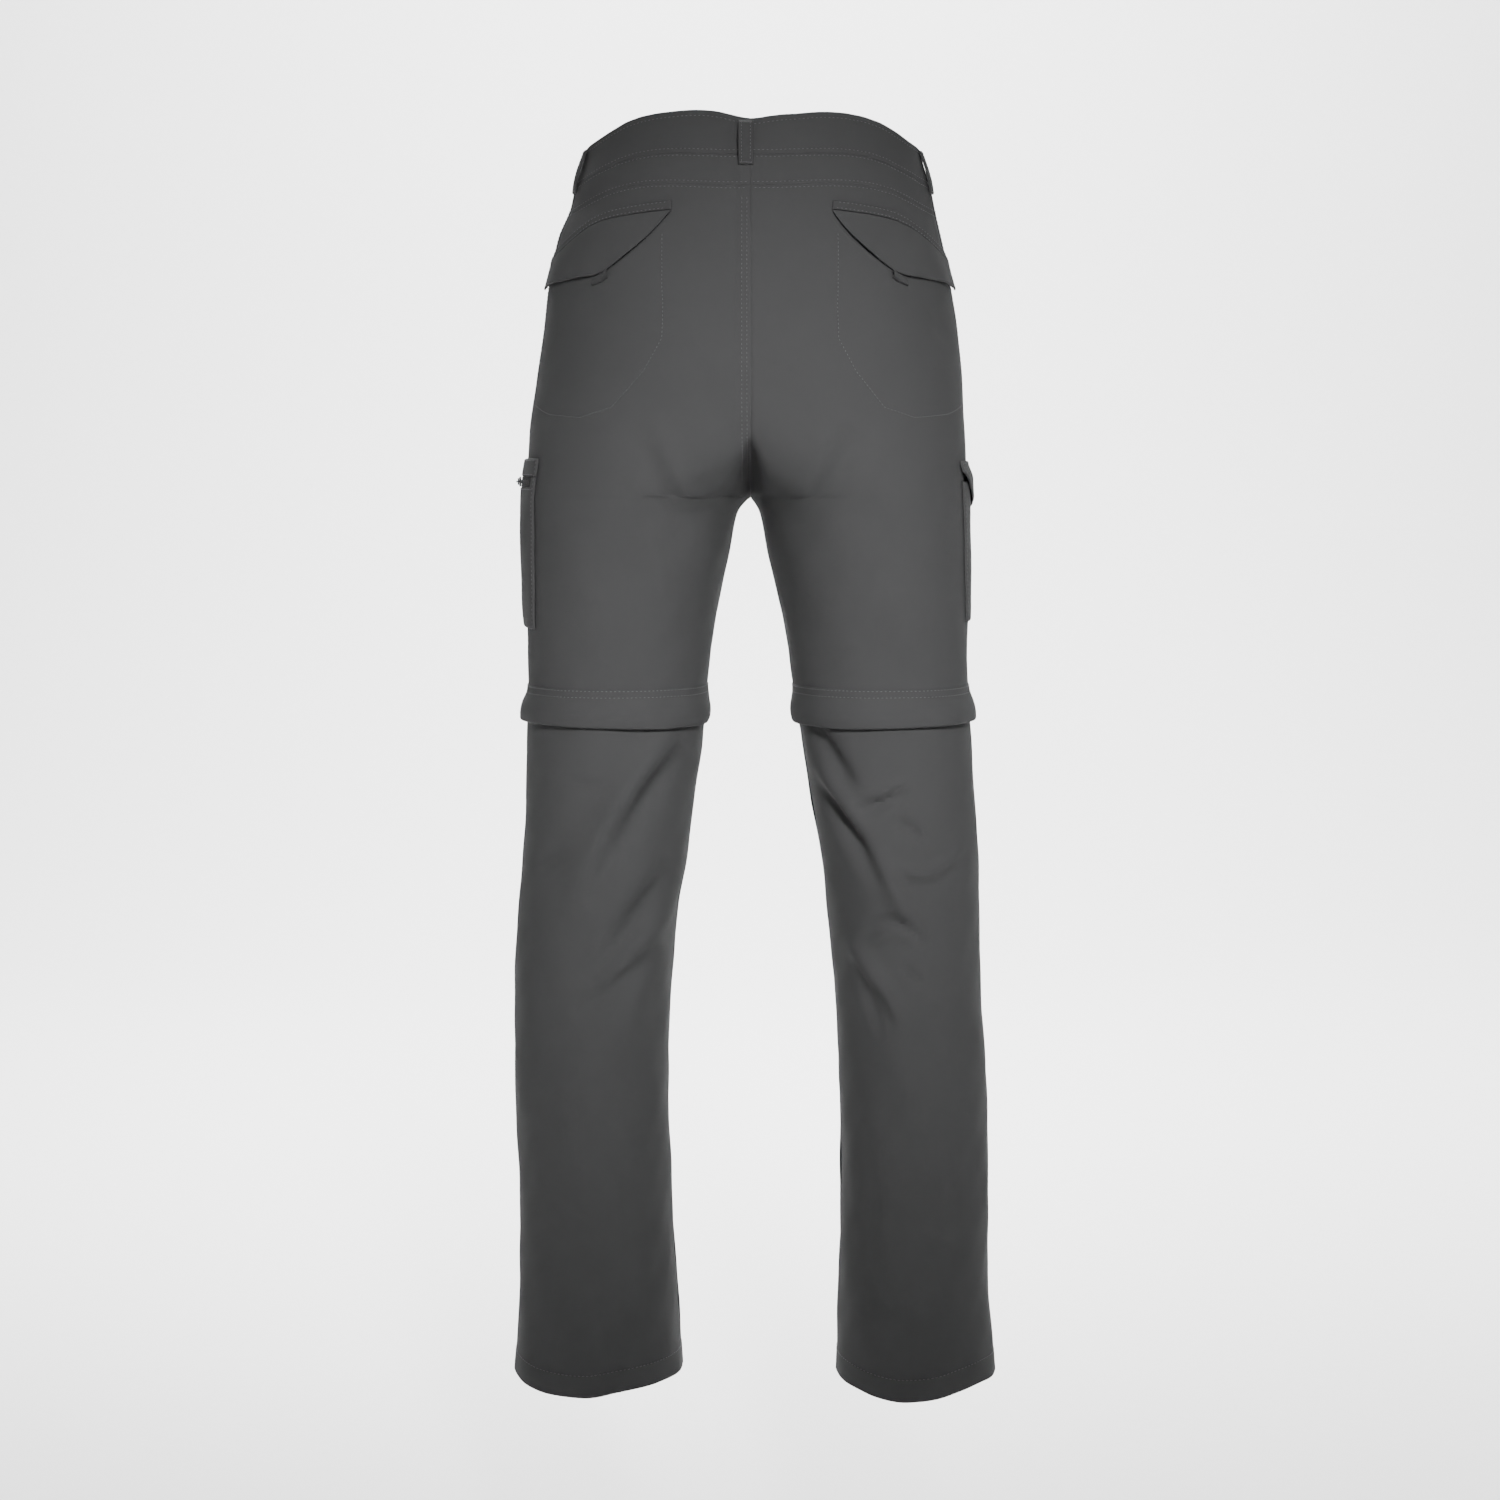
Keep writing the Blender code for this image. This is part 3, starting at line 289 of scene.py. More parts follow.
# Back pocket flap: distance from the side of the hip, top of the strip, foot of the flap
POCKET_FLAP = (
    (0.0100, -0.0775, -0.0985),
    (0.0320, -0.0645, -0.0960),
    (0.0500, -0.0575, -0.0945),
    (0.0640, -0.0505, -0.0935),
    (0.0800, -0.0415, -0.0922),
    (0.0920, -0.0370, -0.0915),
    (0.1020, -0.0348, -0.0905),
    (0.1110, -0.0333, -0.0878),
    (0.1220, -0.0318, -0.0795),
    (0.1330, -0.0306, -0.0690),
    (0.1420, -0.0298, -0.0580),
    (0.1470, -0.0295, -0.0490),
    (0.1505, -0.0293, -0.0400),
)
STRIP_HEIGHT = 0.0078
STRIP_SLANT = 0.0036
FLAP_STAND = 0.0014
TAB_PLACE = 0.1078
TAB_WIDTH = 0.0145
TAB_LENGTH = 0.0070
# Back pocket bag, stitched through the panel: distance from the side of the hip, height
POCKET_BAG = ((0.1520, -0.056), (0.1620, -0.085), (0.1700, -0.115), (0.1745, -0.143), (0.1640, -0.170),
              (0.1420, -0.200), (0.1130, -0.208), (0.0700, -0.205), (0.0300, -0.196))

# Zipped cargo pocket on the left thigh
ZIP_POCKET_TOP = -0.2425
ZIP_POCKET_FOOT = -0.3880
ZIP_POCKET_BACK = (0.0660, 0.0540)
ZIP_POCKET_WIDTH = 0.150
ZIP_HEIGHT = -0.2625
ZIP_HALF = 0.0045
ZIP_BACK = 0.0585
ZIP_FRONT = -0.0720
ZIP_CORNER = 0.002
POCKET_BULGE = 0.0030
TAPE_WALL = 0.0010
TOOTH_PITCH = 0.0013

# Flapped cargo pocket on the right thigh
FLAP_POCKET_TOP = -0.2620
FLAP_POCKET_FOOT = -0.3830
FLAP_POCKET_BACK = (0.0500, 0.0340)
FLAP_POCKET_WIDTH = 0.150
CARGO_BULGE = 0.0012
# Cargo flap: distance from the side of the thigh, top, foot
CARGO_FLAP = (
    (-0.1080, -0.2445, -0.2560),
    (-0.0850, -0.2445, -0.2660),
    (-0.0560, -0.2445, -0.2800),
    (-0.0270, -0.2445, -0.2890),
    (0.0020, -0.2445, -0.2800),
    (0.0310, -0.2445, -0.2660),
    (0.0540, -0.2445, -0.2540),
)
CARGO_FLAP_STAND = 0.0036
CARGO_FLAP_NECK = 0.002

# Storm flap round the knee: height, height over the cloth
KNEE_FLAP = (
    (-0.4372, -0.0012),
    (-0.4384, -0.0008),
    (-0.4440, -0.0002),
    (-0.4480, 0.0010),
    (-0.4530, 0.0025),
    (-0.4580, 0.0037),
    (-0.4630, 0.0042),
    (-0.4685, 0.0039),
    (-0.4702, 0.0034),
)
KNEE_ROWS = (-0.4388, -0.4442)
KNEE_SLIDER_ANGLE = -0.5
KNEE_SLIDER_WIDTH = 0.0100
KNEE_SLIDER_HEIGHT = 0.0100
KNEE_SLIDER_WALL = 0.0012
KNEE_COIL = 0.0008
KNEE_REACH = 0.085

# Hem at the back: share of the way from the outside (0) to the inseam (1),
# then the height over the level hem on the left leg and on the right
HEM_CURVE = (
    (1.00, 0.0096, 0.0062),
    (0.90, 0.0089, 0.0029),
    (0.75, 0.0072, -0.0020),
    (0.60, 0.0041, -0.0044),
    (0.45, -0.0003, -0.0021),
    (0.25, 0.0010, 0.0044),
    (0.10, 0.0045, 0.0075),
    (0.00, 0.0074, 0.0060),
)
HEM_TURN_UP = 0.0200

# How far the left panels lap over the right ones at the centre, and the stitches beside that seam
LAP = 0.0010
CROTCH_ROWS = (0.0026, 0.0068)
CROTCH_ROWS_FOOT = -0.262

# Floor, so far below the hems that no shadow of theirs falls in the picture
FLOOR_DROP = 0.24

# Lamps: name, kind, place, aim, size, the panel's value that it takes a share of, that share, spread in degrees
LAMPS = (
    ("key", "SPOT", (-0.40, 2.9, 1.05), (0.0, 0.0, -0.44), 0.22, "key_power", 1.45, 22.2),
    ("left", "SPOT", (2.5, 1.7, 0.20), (0.0, 0.0, -0.34), 0.40, "key_power", 0.11, 24.0),
    ("right", "SPOT", (-2.5, 1.7, 0.10), (0.0, 0.0, -0.36), 0.40, "key_power", 0.13, 24.0),
    ("front", "SPOT", (0.4, -3.1, 0.30), (0.0, 0.0, -0.43), 0.40, "key_power", 0.45, 28.0),
    ("backdrop", "AREA", (0.0, -1.6, 2.6), (0.0, -4.2, -0.4), 2.4, "backdrop_power", 1.0, 160.0),
    ("floor", "AREA", (0.0, -1.5, 2.6), (0.0, -1.0, -1.2), 3.0, "backdrop_power", 0.10, 130.0),
)

# Camera, level with the thighs behind the trousers
CAMERA_PLACE = (0.0, 2.6, -0.235)
CAMERA_PITCH = 5.76
CAMERA_LENS = 71.4

# Least width of a sheet's flat cut, and the least share of its rectangle that its area takes
LEAST_CUT = 0.0101
LEAST_SHARE = 0.31

# Spacing of the cloth's grid, close at an edge and wide in the open
EDGE_STEPS = np.array([0.0, 0.0005, 0.0011, 0.0019, 0.0032, 0.0052, 0.0074, 0.0094])
SMALL_EDGE_STEPS = np.array([0.0, 0.0004, 0.0010, 0.0018])
SLIDER_EDGE_STEPS = np.array([0.0, 0.0004, 0.0009])
ZIP_EDGE_STEPS = np.array([0.0, 0.0005, 0.0011, 0.0019, 0.0034])
OPEN_STEP = 0.0040


def smooth(table, column, height):
    """A column of a table at any height, by a cubic through its rows that never overshoots."""
    rows = np.array(table)[::-1]
    level, value = rows[:, 0], rows[:, column]
    step = np.diff(value) / np.diff(level)
    slope = np.concatenate([step[:1], np.zeros(len(step) - 1), step[-1:]])
    same = step[:-1] * step[1:] > 0
    slope[1:-1][same] = 2 * step[:-1][same] * step[1:][same] / (step[:-1] + step[1:])[same]
    at = np.clip(height, level[0], level[-1])
    row = np.clip(np.searchsorted(level, at) - 1, 0, len(level) - 2)
    gap = level[row + 1] - level[row]
    t = (at - level[row]) / gap
    low = (1 + 2 * t) * (1 - t) ** 2 * value[row] + t * (1 - t) ** 2 * gap * slope[row]
    high = t * t * (3 - 2 * t) * value[row + 1] + t * t * (t - 1) * gap * slope[row + 1]
    return low + high


def by_side(table, side, height):
    return np.where(np.asarray(side) > 0, smooth(table, 1, height), smooth(table, 2, height))


INNER = tuple((z, float(smooth(WIDTHS, 1, z)) * share, float(smooth(WIDTHS, 2, z)) * share)
              for z, share in SPREAD[:-1]) + INSIDES


def section(side, height):
    """Middle and half width of one side's oval. Above the crotch it crosses the centre, where it is cut."""
    outer = by_side(WIDTHS, side, height)
    inner = np.where(height > SPREAD[0][0], -outer, by_side(INNER, side, height))
    return (outer + inner) / 2, (outer - inner) / 2


def form(side, angle, height):
    """Outer surface of the smooth cloth form."""
    side, angle, height = np.broadcast_arrays(side, angle, height)
    middle, half = section(side, height)
    depth = np.where(angle > 0, smooth(DEPTHS, 2, height), smooth(DEPTHS, 1, height))
    across, along = np.cos(angle), np.sin(angle)
    x = middle + half * np.sign(across) * np.abs(across) ** (2 / SQUARENESS)
    y = depth * np.sign(along) * np.abs(along) ** (2 / SQUARENESS)
    return np.stack([side * x, y, height], axis=-1)


def outward(side, angle, height):
    """Unit normal of the form, pointing out of the cloth."""
    turn, rise = 0.01, 0.002
    along = form(side, angle + turn, height) - form(side, angle - turn, height)
    up = form(side, angle, height + rise) - form(side, angle, height - rise)
    normal = np.cross(along, up) * np.asarray(side)[..., None]
    return normal / np.linalg.norm(normal, axis=-1, keepdims=True)


def ease(share):
    """Soft step from 0 to 1."""
    t = np.clip(share, 0, 1)
    return t * t * (3 - 2 * t)


def seam_angle(height):
    """Angle of the side seam."""
    return SEAM_TURN * ease((height - SEAM_TURN_FOOT) / (SEAM_TURN_TOP - SEAM_TURN_FOOT))


def waist_out(angle):
    """How far out from the centre the waist is at an angle, roughly."""
    return WAIST_REACH * np.abs(np.cos(angle)) ** (2 / SQUARENESS)


def edge(heights, angle):
    """Height of a sloping waist edge at an angle, rounded up at the back of the hips."""
    end = np.where(angle > 0, heights["back"], heights["front"])
    rounded = np.interp(waist_out(angle), *np.array(ROUNDING).T) * ease(np.sin(angle) * 4)
    return heights["side"] + (end - heights["side"]) * np.sin(angle) ** 2 + rounded


def rim(side, angle):
    """Top of the waistband, with its dip at the centre back."""
    level = edge(RIM, angle)
    x = form(side, angle, level)[..., 0]
    for height, place, width in RIM_WAVES:
        level = level + height * np.exp(-(((x - place) / width) ** 2)) * (np.asarray(angle) > 0)
    return level


def creased(side, point, normal):
    """Height of the creases at points of the form."""
    x, z = side * point[..., 0], point[..., 2]
    total = np.zeros(x.shape)
    for leg, face, x0, z0, x1, z1, x2, z2, height, width in CREASES:
        t = np.linspace(0, 1, 9)
        control_x, control_z = 2 * x1 - (x0 + x2) / 2, 2 * z1 - (z0 + z2) / 2
        way_x = (1 - t) ** 2 * x0 + 2 * t * (1 - t) * control_x + t * t * x2
        way_z = (1 - t) ** 2 * z0 + 2 * t * (1 - t) * control_z + t * t * z2
        reach = 3.5 * width
        near = ((side == leg) & (normal[..., 1] * face > 0) & (x > way_x.min() - reach)
                & (x < way_x.max() + reach) & (z > way_z.min() - reach) & (z < way_z.max() + reach))
        if not near.any():
            continue
        here_x, here_z = x[near], z[near]
        nearest, place = np.full(here_x.shape, 1.0), np.zeros(here_x.shape)
        for k in range(len(t) - 1):
            dx, dz = way_x[k + 1] - way_x[k], way_z[k + 1] - way_z[k]
            share = np.clip(((here_x - way_x[k]) * dx + (here_z - way_z[k]) * dz) / (dx * dx + dz * dz), 0, 1)
            away = np.hypot(here_x - way_x[k] - share * dx, here_z - way_z[k] - share * dz)
            closer = away < nearest
            nearest = np.where(closer, away, nearest)
            place = np.where(closer, t[k] + share * (t[1] - t[0]), place)
        taper = np.clip(np.sin(math.pi * place), 0, 1) ** 0.8
        facing = np.clip(normal[..., 1][near] * face * 1.6, 0, 1)
        total[near] += height * taper * facing * np.exp(-((nearest / width) ** 2))
    return total


def sewn(side, angle, point):
    """Low relief of the seams: a groove where two panels meet and the raised allowance beside it."""
    x, y, z = side * point[..., 0], point[..., 1], point[..., 2]
    depth = np.where(angle > 0, smooth(DEPTHS, 2, z), smooth(DEPTHS, 1, z))
    seam_y = depth * np.abs(np.sin(seam_angle(z))) ** (2 / SQUARENESS)
    outside = np.abs(angle) < math.pi / 2
    from_side = np.abs(y - seam_y)
    from_inside = np.abs(y)
    away = np.where(outside, from_side, np.where(z < CROTCH, from_inside, 1.0))
    total = -0.0006 * np.exp(-((away / 0.0011) ** 2)) + 0.00025 * (1 - ease((away - 0.0085) / 0.003))
    middle = (z > CROTCH - 0.001) & (np.abs(angle) > 0.8)
    groove = -0.0004 * np.exp(-((x / 0.0014) ** 2)) * (side < 0)
    lap = 0.0006 * (1 - ease((x - 0.0088) / 0.0022)) * (side > 0)
    return total + np.where(middle, groove + lap, 0.0)


def hollowed(point):
    """The cloth pushed in towards the middle, narrow and deep, above the place where the legs meet."""
    x, y, z = point[..., 0], point[..., 1], point[..., 2]
    down = ease((HOLLOW_TOP - z) / (HOLLOW_TOP - HOLLOW_FULL))
    width = HOLLOW_WIDTHS[0] + (HOLLOW_WIDTHS[1] - HOLLOW_WIDTHS[0]) * down
    return np.stack([x, y * (1 - HOLLOW_SHARE * down * np.exp(-((x / width) ** 2))), z], axis=-1)


def swelled(side, angle, z):
    """Soft unevenness of the cloth."""
    around = angle * HIP_REACH * side
    total = np.zeros(np.broadcast(angle, z).shape)
    for height, across, up, phase in SWELLS:
        total = total + height * np.sin(2 * math.pi * (around * across + z * up) + phase)
    return total


def skin(side, angle, height, lift, cut=True, seams=True):
    """Points of the cloth and its normals, moved out by lift. A cut piece ends at the centre seam."""
    side, angle, height, lift = np.broadcast_arrays(side, angle, height, lift)
    point, normal = form(side, angle, height), outward(side, angle, height)
    low = creased(side, point, normal) + swelled(side, angle, height)
    if seams:
        low = low + sewn(side, angle, point)
    moved = hollowed(point + normal * (low + lift)[..., None])
    if cut:
        moved[..., 0] = side * np.maximum(side * moved[..., 0], np.where(side > 0, -LAP, 0.0))
    return moved, normal


def inner_end(side, height):
    """Angle where a panel ends: at the centre seam above the crotch, at the inseam below it."""
    middle, half = section(side, height)
    past = np.where(np.asarray(side) > 0, LAP, 0.0)
    reach = np.clip((middle + past) / half, 0, 1)
    return np.where(height > CROTCH + HALF_SEAM, np.arccos(-(reach ** (SQUARENESS / 2))), math.pi)


def angle_at(side, distance, height):
    """Angle at a distance round the cloth from angle 0, positive to the back and negative to the front."""
    distance, height = np.broadcast_arrays(np.asarray(distance, float), np.asarray(height, float))
    flat, level = distance.ravel(), height.ravel()
    way = np.where(flat < 0, -1.0, 1.0)
    turns = np.linspace(0, 2.9, 117)
    found = np.zeros(flat.shape)
    for start in range(0, len(flat), 4000):
        part = slice(start, start + 4000)
        points = form(side, way[part, None] * turns[None, :], level[part, None])
        reach = run_along(points, 1)
        want = np.abs(flat[part])
        row = np.clip((reach < want[:, None]).sum(axis=1), 1, len(turns) - 1)
        pick = np.arange(len(row))
        low, high = reach[pick, row - 1], reach[pick, row]
        found[part] = way[part] * (turns[row - 1] + (turns[1] - turns[0]) * (want - low) / (high - low))
    return found.reshape(distance.shape)


def side_word(side):
    return "left" if side > 0 else "right"


def fine_steps(length, step=OPEN_STEP, edges=EDGE_STEPS):
    """Places from 0 to a length, close together near both ends."""
    count = max(2, int(round((length - 2 * edges[-1]) / step)))
    middle = np.linspace(edges[-1], length - edges[-1], count + 1)[1:-1]
    return np.concatenate([edges, middle, length - edges[::-1]])


def panel_grid(side, start, end, top, levels, step=OPEN_STEP):
    """Angles and heights of a panel's grid. start, end and top give an angle or height; levels are rows of
    a share of the way down from the sloping top, and the level height they go to."""
    lengths, rows = [], []
    for share, flat in levels:
        angle_end = end(np.array(flat if share > 0.5 else top(math.pi / 2) * (1 - share) + flat * share))
        turns = np.linspace(0, 1, 161)
        guess = start(np.array(flat)) + (angle_end - start(np.array(flat))) * turns
        heights = top(guess) * (1 - share) + flat * share
        first, last = start(heights[0]), end(heights[-1])
        guess = first + (last - first) * turns
        heights = top(guess) * (1 - share) + flat * share
        reach = run_along(form(side, guess, heights), 0)
        lengths.append(reach[-1])
        rows.append((guess, heights, reach))
    columns = fine_steps(max(lengths), step)
    near = len(EDGE_STEPS)
    angles, levels_out = [], []
    for guess, heights, reach in rows:
        inner = reach[-1] - 2 * EDGE_STEPS[-1]
        spread = (columns[near:-near] - EDGE_STEPS[-1]) / (columns[-1] - 2 * EDGE_STEPS[-1])
        want = np.concatenate([EDGE_STEPS, EDGE_STEPS[-1] + inner * spread, reach[-1] - EDGE_STEPS[::-1]])
        angle = np.interp(want, reach, guess)
        angles.append(angle)
        levels_out.append(np.interp(want, reach, heights))
    return np.array(angles), np.array(levels_out)


def level_rows(top_share_rows, flat, foot, step=OPEN_STEP):
    """Rows from a sloping top down to a flat height, then level rows to the foot."""
    sloping = [(share, flat) for share in np.linspace(0, 1, top_share_rows + 1)]
    near_top = [(share, flat) for share in (0.004, 0.009, 0.016, 0.028, 0.045, 0.065)]
    rows = sorted(sloping + near_top, key=lambda row: row[0])
    down = fine_steps(flat - foot, step)
    fork = np.arange(flat - CROTCH - 0.020, flat - CROTCH + 0.012, 0.0012)
    down = np.concatenate([down[(down < fork[0]) | (down > fork[-1])], fork])
    return rows + [(1.0, flat - place) for place in np.sort(down) if place > 0.003]


class Value:
    """A socket of a shader tree that can be added, multiplied and compared in a plain expression."""

    def __init__(self, tree, socket):
        self.tree, self.socket = tree, socket

    def _math(self, operation, first, second=None):
        node = self.tree.nodes.new("ShaderNodeMath")
        node.operation = operation
        for place, item in enumerate((first, second)):
            if isinstance(item, Value):
                self.tree.links.new(item.socket, node.inputs[place])
            elif item is not None:
                node.inputs[place].default_value = item
        return Value(self.tree, node.outputs[0])

    def __add__(self, other):
        return self._math("ADD", self, other)

    def __radd__(self, other):
        return self._math("ADD", other, self)

    def __sub__(self, other):
        return self._math("SUBTRACT", self, other)

    def __rsub__(self, other):
        return self._math("SUBTRACT", other, self)

    def __mul__(self, other):
        return self._math("MULTIPLY", self, other)

    def __rmul__(self, other):
        return self._math("MULTIPLY", other, self)

    def sine(self):
        return self._math("SINE", self)

    def absolute(self):
        return self._math("ABSOLUTE", self)


class Finish:
    """A material whose nodes are added one call at a time."""

    def __init__(self, name, roughness, specular):
        self.material = bpy.data.materials.new(name)
        self.material.use_nodes = True
        self.tree = self.material.node_tree
        self.shader = self.tree.nodes["Principled BSDF"]
        self.shader.inputs["Roughness"].default_value = roughness
        self.shader.inputs["Specular IOR Level"].default_value = specular

    def node(self, kind, settings=None, output=0, **inputs):
        """Any node: its type, its settings, and the values or links of its sockets by name or number."""
        node = self.tree.nodes.new(kind)
        for name, value in (settings or {}).items():
            setattr(node, name, value)
        for name, value in inputs.items():
            socket = node.inputs[int(name[1:])] if name[0] == "_" else node.inputs[name.replace("_", " ")]
            if isinstance(value, Value):
                self.tree.links.new(value.socket, socket)
            else:
                socket.default_value = value
        return Value(self.tree, node.outputs[output])

    def feed(self, name, value):
        self.tree.links.new(value.socket, self.shader.inputs[name])

    def blend(self, share, first, second):
        """Mix of two colours."""
        return self.node("ShaderNodeMix", {"data_type": "RGBA"}, output=2, _0=share,
                         _6=(*first, 1), _7=(*second, 1))

    def bump(self, height, strength, distance):
        self.feed("Normal", self.node("ShaderNodeBump", Height=height, Strength=strength, Distance=distance))


def woven(name, colour, spread, pitch, strength, roughness=0.80, specular=0.08):
    """Plain weave that follows the cloth's own UV map, which is in metres."""
    made = Finish(name, roughness, specular)
    place = made.node("ShaderNodeTexCoord", output=2)
    u = made.node("ShaderNodeSeparateXYZ", _0=place)
    v = Value(made.tree, u.socket.node.outputs[1])
    turn = math.pi / pitch
    warp = (u * turn).sine().absolute()
    weft = (v * turn).sine().absolute()
    over = (u * (turn / 2)).sine() * (v * (turn / 2)).sine()
    thread = warp * (0.5 + over * 0.5) + weft * (0.5 - over * 0.5)
    cloud = made.node("ShaderNodeTexNoise", Vector=place, Scale=9.0, Detail=3.0, Roughness=0.55)
    slub = made.node("ShaderNodeTexNoise",
                     Vector=made.node("ShaderNodeMapping", Vector=place, Scale=(220.0, 1500.0, 1.0)),
                     Scale=1.0, Detail=2.0)
    low = tuple(c * (1 - spread) for c in colour)
    high = tuple(c * (1 + spread) for c in colour)
    made.feed("Base Color", made.blend(cloud * 0.55 + slub * 0.25 + thread * 0.2, low, high))
    made.feed("Roughness", roughness - 0.06 + cloud * 0.08 + thread * 0.04)
    made.bump(thread * 0.6 + slub * 0.4, strength, pitch * 0.5)
    return made.material


def plain_finish(name, colour, roughness, grain, strength, specular=0.5):
    """Smooth hard finish with a fine grain and a little wear in its gloss."""
    made = Finish(name, roughness, specular)
    place = made.node("ShaderNodeTexCoord", output=3)
    fine = made.node("ShaderNodeTexNoise", Vector=place, Scale=grain, Detail=3.0)
    wide = made.node("ShaderNodeTexNoise", Vector=place, Scale=grain * 0.12, Detail=2.0)
    low = tuple(c * 0.85 for c in colour)
    high = tuple(c * 1.2 for c in colour)
    made.feed("Base Color", made.blend(wide, low, high))
    made.feed("Roughness", roughness - 0.08 + wide * 0.16)
    made.bump(fine, strength, 0.0002)
    return made.material


FINISHES = {}


def finish(kind):
    """The material of a kind of piece, made once from the panel's colours."""
    if kind not in FINISHES:
        looks = bpy.context.scene.trousers_looks
        nylon, tape = tuple(looks.cloth_colour), tuple(looks.tape_colour)
        make, *values = {
            "cloth": (woven, "charcoal_nylon", nylon, 0.10, looks.thread_pitch, 0.35),
            # Belt loops, pocket strips and tabs: the same nylon made 8% darker, which is painted shade
            "trim": (woven, "charcoal_nylon_folded", tuple(c * 0.92 for c in nylon), 0.10,
                     looks.thread_pitch, 0.35),
            "tape": (woven, "black_zip_tape", tape, 0.12, 0.0009, 0.5, 0.7),
            "coil": (plain_finish, "black_nylon_coil", tape, 0.6, 900.0, 0.1, 0.2),
            # Stitches: a grey lighter than the charcoal cloth, which is painted highlight on the raised thread
            "thread": (plain_finish, "sewing_thread", tuple(looks.thread_colour_and_highlight), 0.6, 4000.0, 0.3, 0.3),
            "metal": (plain_finish, "black_enamel", tuple(looks.metal_colour), 0.42, 700.0, 0.08, 0.4),
            "button": (plain_finish, "button_plastic", tuple(looks.button_colour), 0.34, 500.0, 0.06),
        }[kind]
        FINISHES[kind] = make(*values)
    return FINISHES[kind]


def link(name, mesh, kind):
    obj = bpy.data.objects.new(name, mesh)
    bpy.context.scene.collection.objects.link(obj)
    mesh.materials.append(finish(kind))
    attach(obj, BODY)
    return obj


def run_along(points, axis):
    """Distance from the first point to each one, along a line or one way of a grid of points."""
    reach = np.cumsum(np.linalg.norm(np.diff(points, axis=axis), axis=-1), axis=axis)
    return np.concatenate([np.zeros_like(reach.take([0], axis=axis)), reach], axis=axis)


def face_outwards(mesh, ring=False):
    """Turns every face of a closed mesh outwards. A ring is welded first where its ends meet."""
    shell = bmesh.new()
    shell.from_mesh(mesh)
    if ring:
        bmesh.ops.remove_doubles(shell, verts=shell.verts, dist=1e-6)
    bmesh.ops.recalc_face_normals(shell, faces=shell.faces)
    if shell.calc_volume(signed=True) < 0:
        bmesh.ops.reverse_faces(shell, faces=shell.faces)
    shell.to_mesh(mesh)
    shell.free()


def lay(name, outer, inner, kind, ring=False):
    """Closed shell of cloth between two grids of points, with a UV map in metres along its threads."""
    rows, columns = outer.shape[:2]
    u = run_along(outer, 1)
    u = u - u[:, -1:] / 2
    v = -run_along(outer, 0)
    v = v.mean(axis=1, keepdims=True) + np.zeros((1, columns))
    count = rows * columns
    points = np.concatenate([outer.reshape(-1, 3), inner.reshape(-1, 3)])
    uv = np.stack([u, v], axis=-1).reshape(-1, 2)
    uv = np.concatenate([uv, uv])
    index = np.arange(count).reshape(rows, columns)
    a, b, c, d = index[:-1, :-1], index[:-1, 1:], index[1:, 1:], index[1:, :-1]
    faces = [np.stack([a, b, c, d], axis=-1).reshape(-1, 4),
             np.stack([d, c, b, a], axis=-1).reshape(-1, 4) + count]
    for line, flip in ((index[0], True), (index[-1], False)):
        p, q = (line[1:], line[:-1]) if flip else (line[:-1], line[1:])
        faces.append(np.stack([p, q, q + count, p + count], axis=-1))
    if not ring:
        for line, flip in ((index[:, 0], False), (index[:, -1], True)):
            p, q = (line[1:], line[:-1]) if flip else (line[:-1], line[1:])
            faces.append(np.stack([p, q, q + count, p + count], axis=-1))
    faces = np.concatenate(faces)
    mesh = bpy.data.meshes.new(name)
    mesh.from_pydata(points.tolist(), [], faces.tolist())
    layer = mesh.uv_layers.new(name="cloth")
    layer.data.foreach_set("uv", uv[faces.ravel()].ravel())
    face_outwards(mesh, ring)
    mesh.shade_smooth()
    mesh.set_sharp_from_angle(angle=math.radians(50))
    return link(name, mesh, kind)


def cut_size(outer):
    """Greatest width and length of a grid of points, and its area."""
    width, length = run_along(outer, 1)[:, -1].max(), run_along(outer, 0)[-1].max()
    a, b, c, d = outer[:-1, :-1], outer[:-1, 1:], outer[1:, 1:], outer[1:, :-1]
    first, second = np.cross(b - a, c - a), np.cross(c - a, d - a)
    area = (np.linalg.norm(first, axis=-1) + np.linalg.norm(second, axis=-1)).sum() / 2
    return float(width), float(length), float(area)


def rolled(outer_lift, inner_lift, angles_gap, heights_gap, depth=0.0009, reach=0.0013):
    """Outer lift eased down to a folded edge, from the distances to the nearest edges."""
    away = np.minimum(angles_gap, heights_gap)
    drop = depth * (1 - np.sqrt(np.clip(1 - (1 - np.clip(away / reach, 0, 1)) ** 2, 0, 1)))
    return np.maximum(outer_lift - drop, inner_lift + 0.0002)


def edge_gaps(points):
    """Distance along the grid from each point to its nearest side edge, and to its nearest end edge."""
    u, v = run_along(points, 1), run_along(points, 0)
    return np.minimum(u, u[:, -1:] - u), np.minimum(v, v[-1:] - v)


def cloth(name, node, side, angles, heights, lift, wall, kind="cloth", slot="cloth", ring=False, cut=True,
          fold=0.0009, seams=True, rests=(), held="hung"):
    """A piece of cloth over a grid of angles and heights, its inner face at lift, that stands for a node."""
    side, angles, heights, lift, wall = np.broadcast_arrays(side, angles, heights, lift, wall)
    smooth_points = form(side, angles, heights)
    side_gap, end_gap = edge_gaps(smooth_points)
    if ring:
        side_gap = np.ones(side_gap.shape)
    top = rolled(lift + wall, lift, side_gap, end_gap, fold) if fold else lift + wall
    outer, _ = skin(side, angles, heights, top, cut, seams)
    inner, _ = skin(side, angles, heights, lift, cut, seams)
    piece = lay(name, outer, inner, kind, ring)
    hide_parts(node)
    width, length, area = cut_size(outer)
    area = min(area, width * length)
    width, length = max(width, LEAST_CUT), max(length, LEAST_CUT)
    area = max(area, LEAST_SHARE * width * length)
    return piece


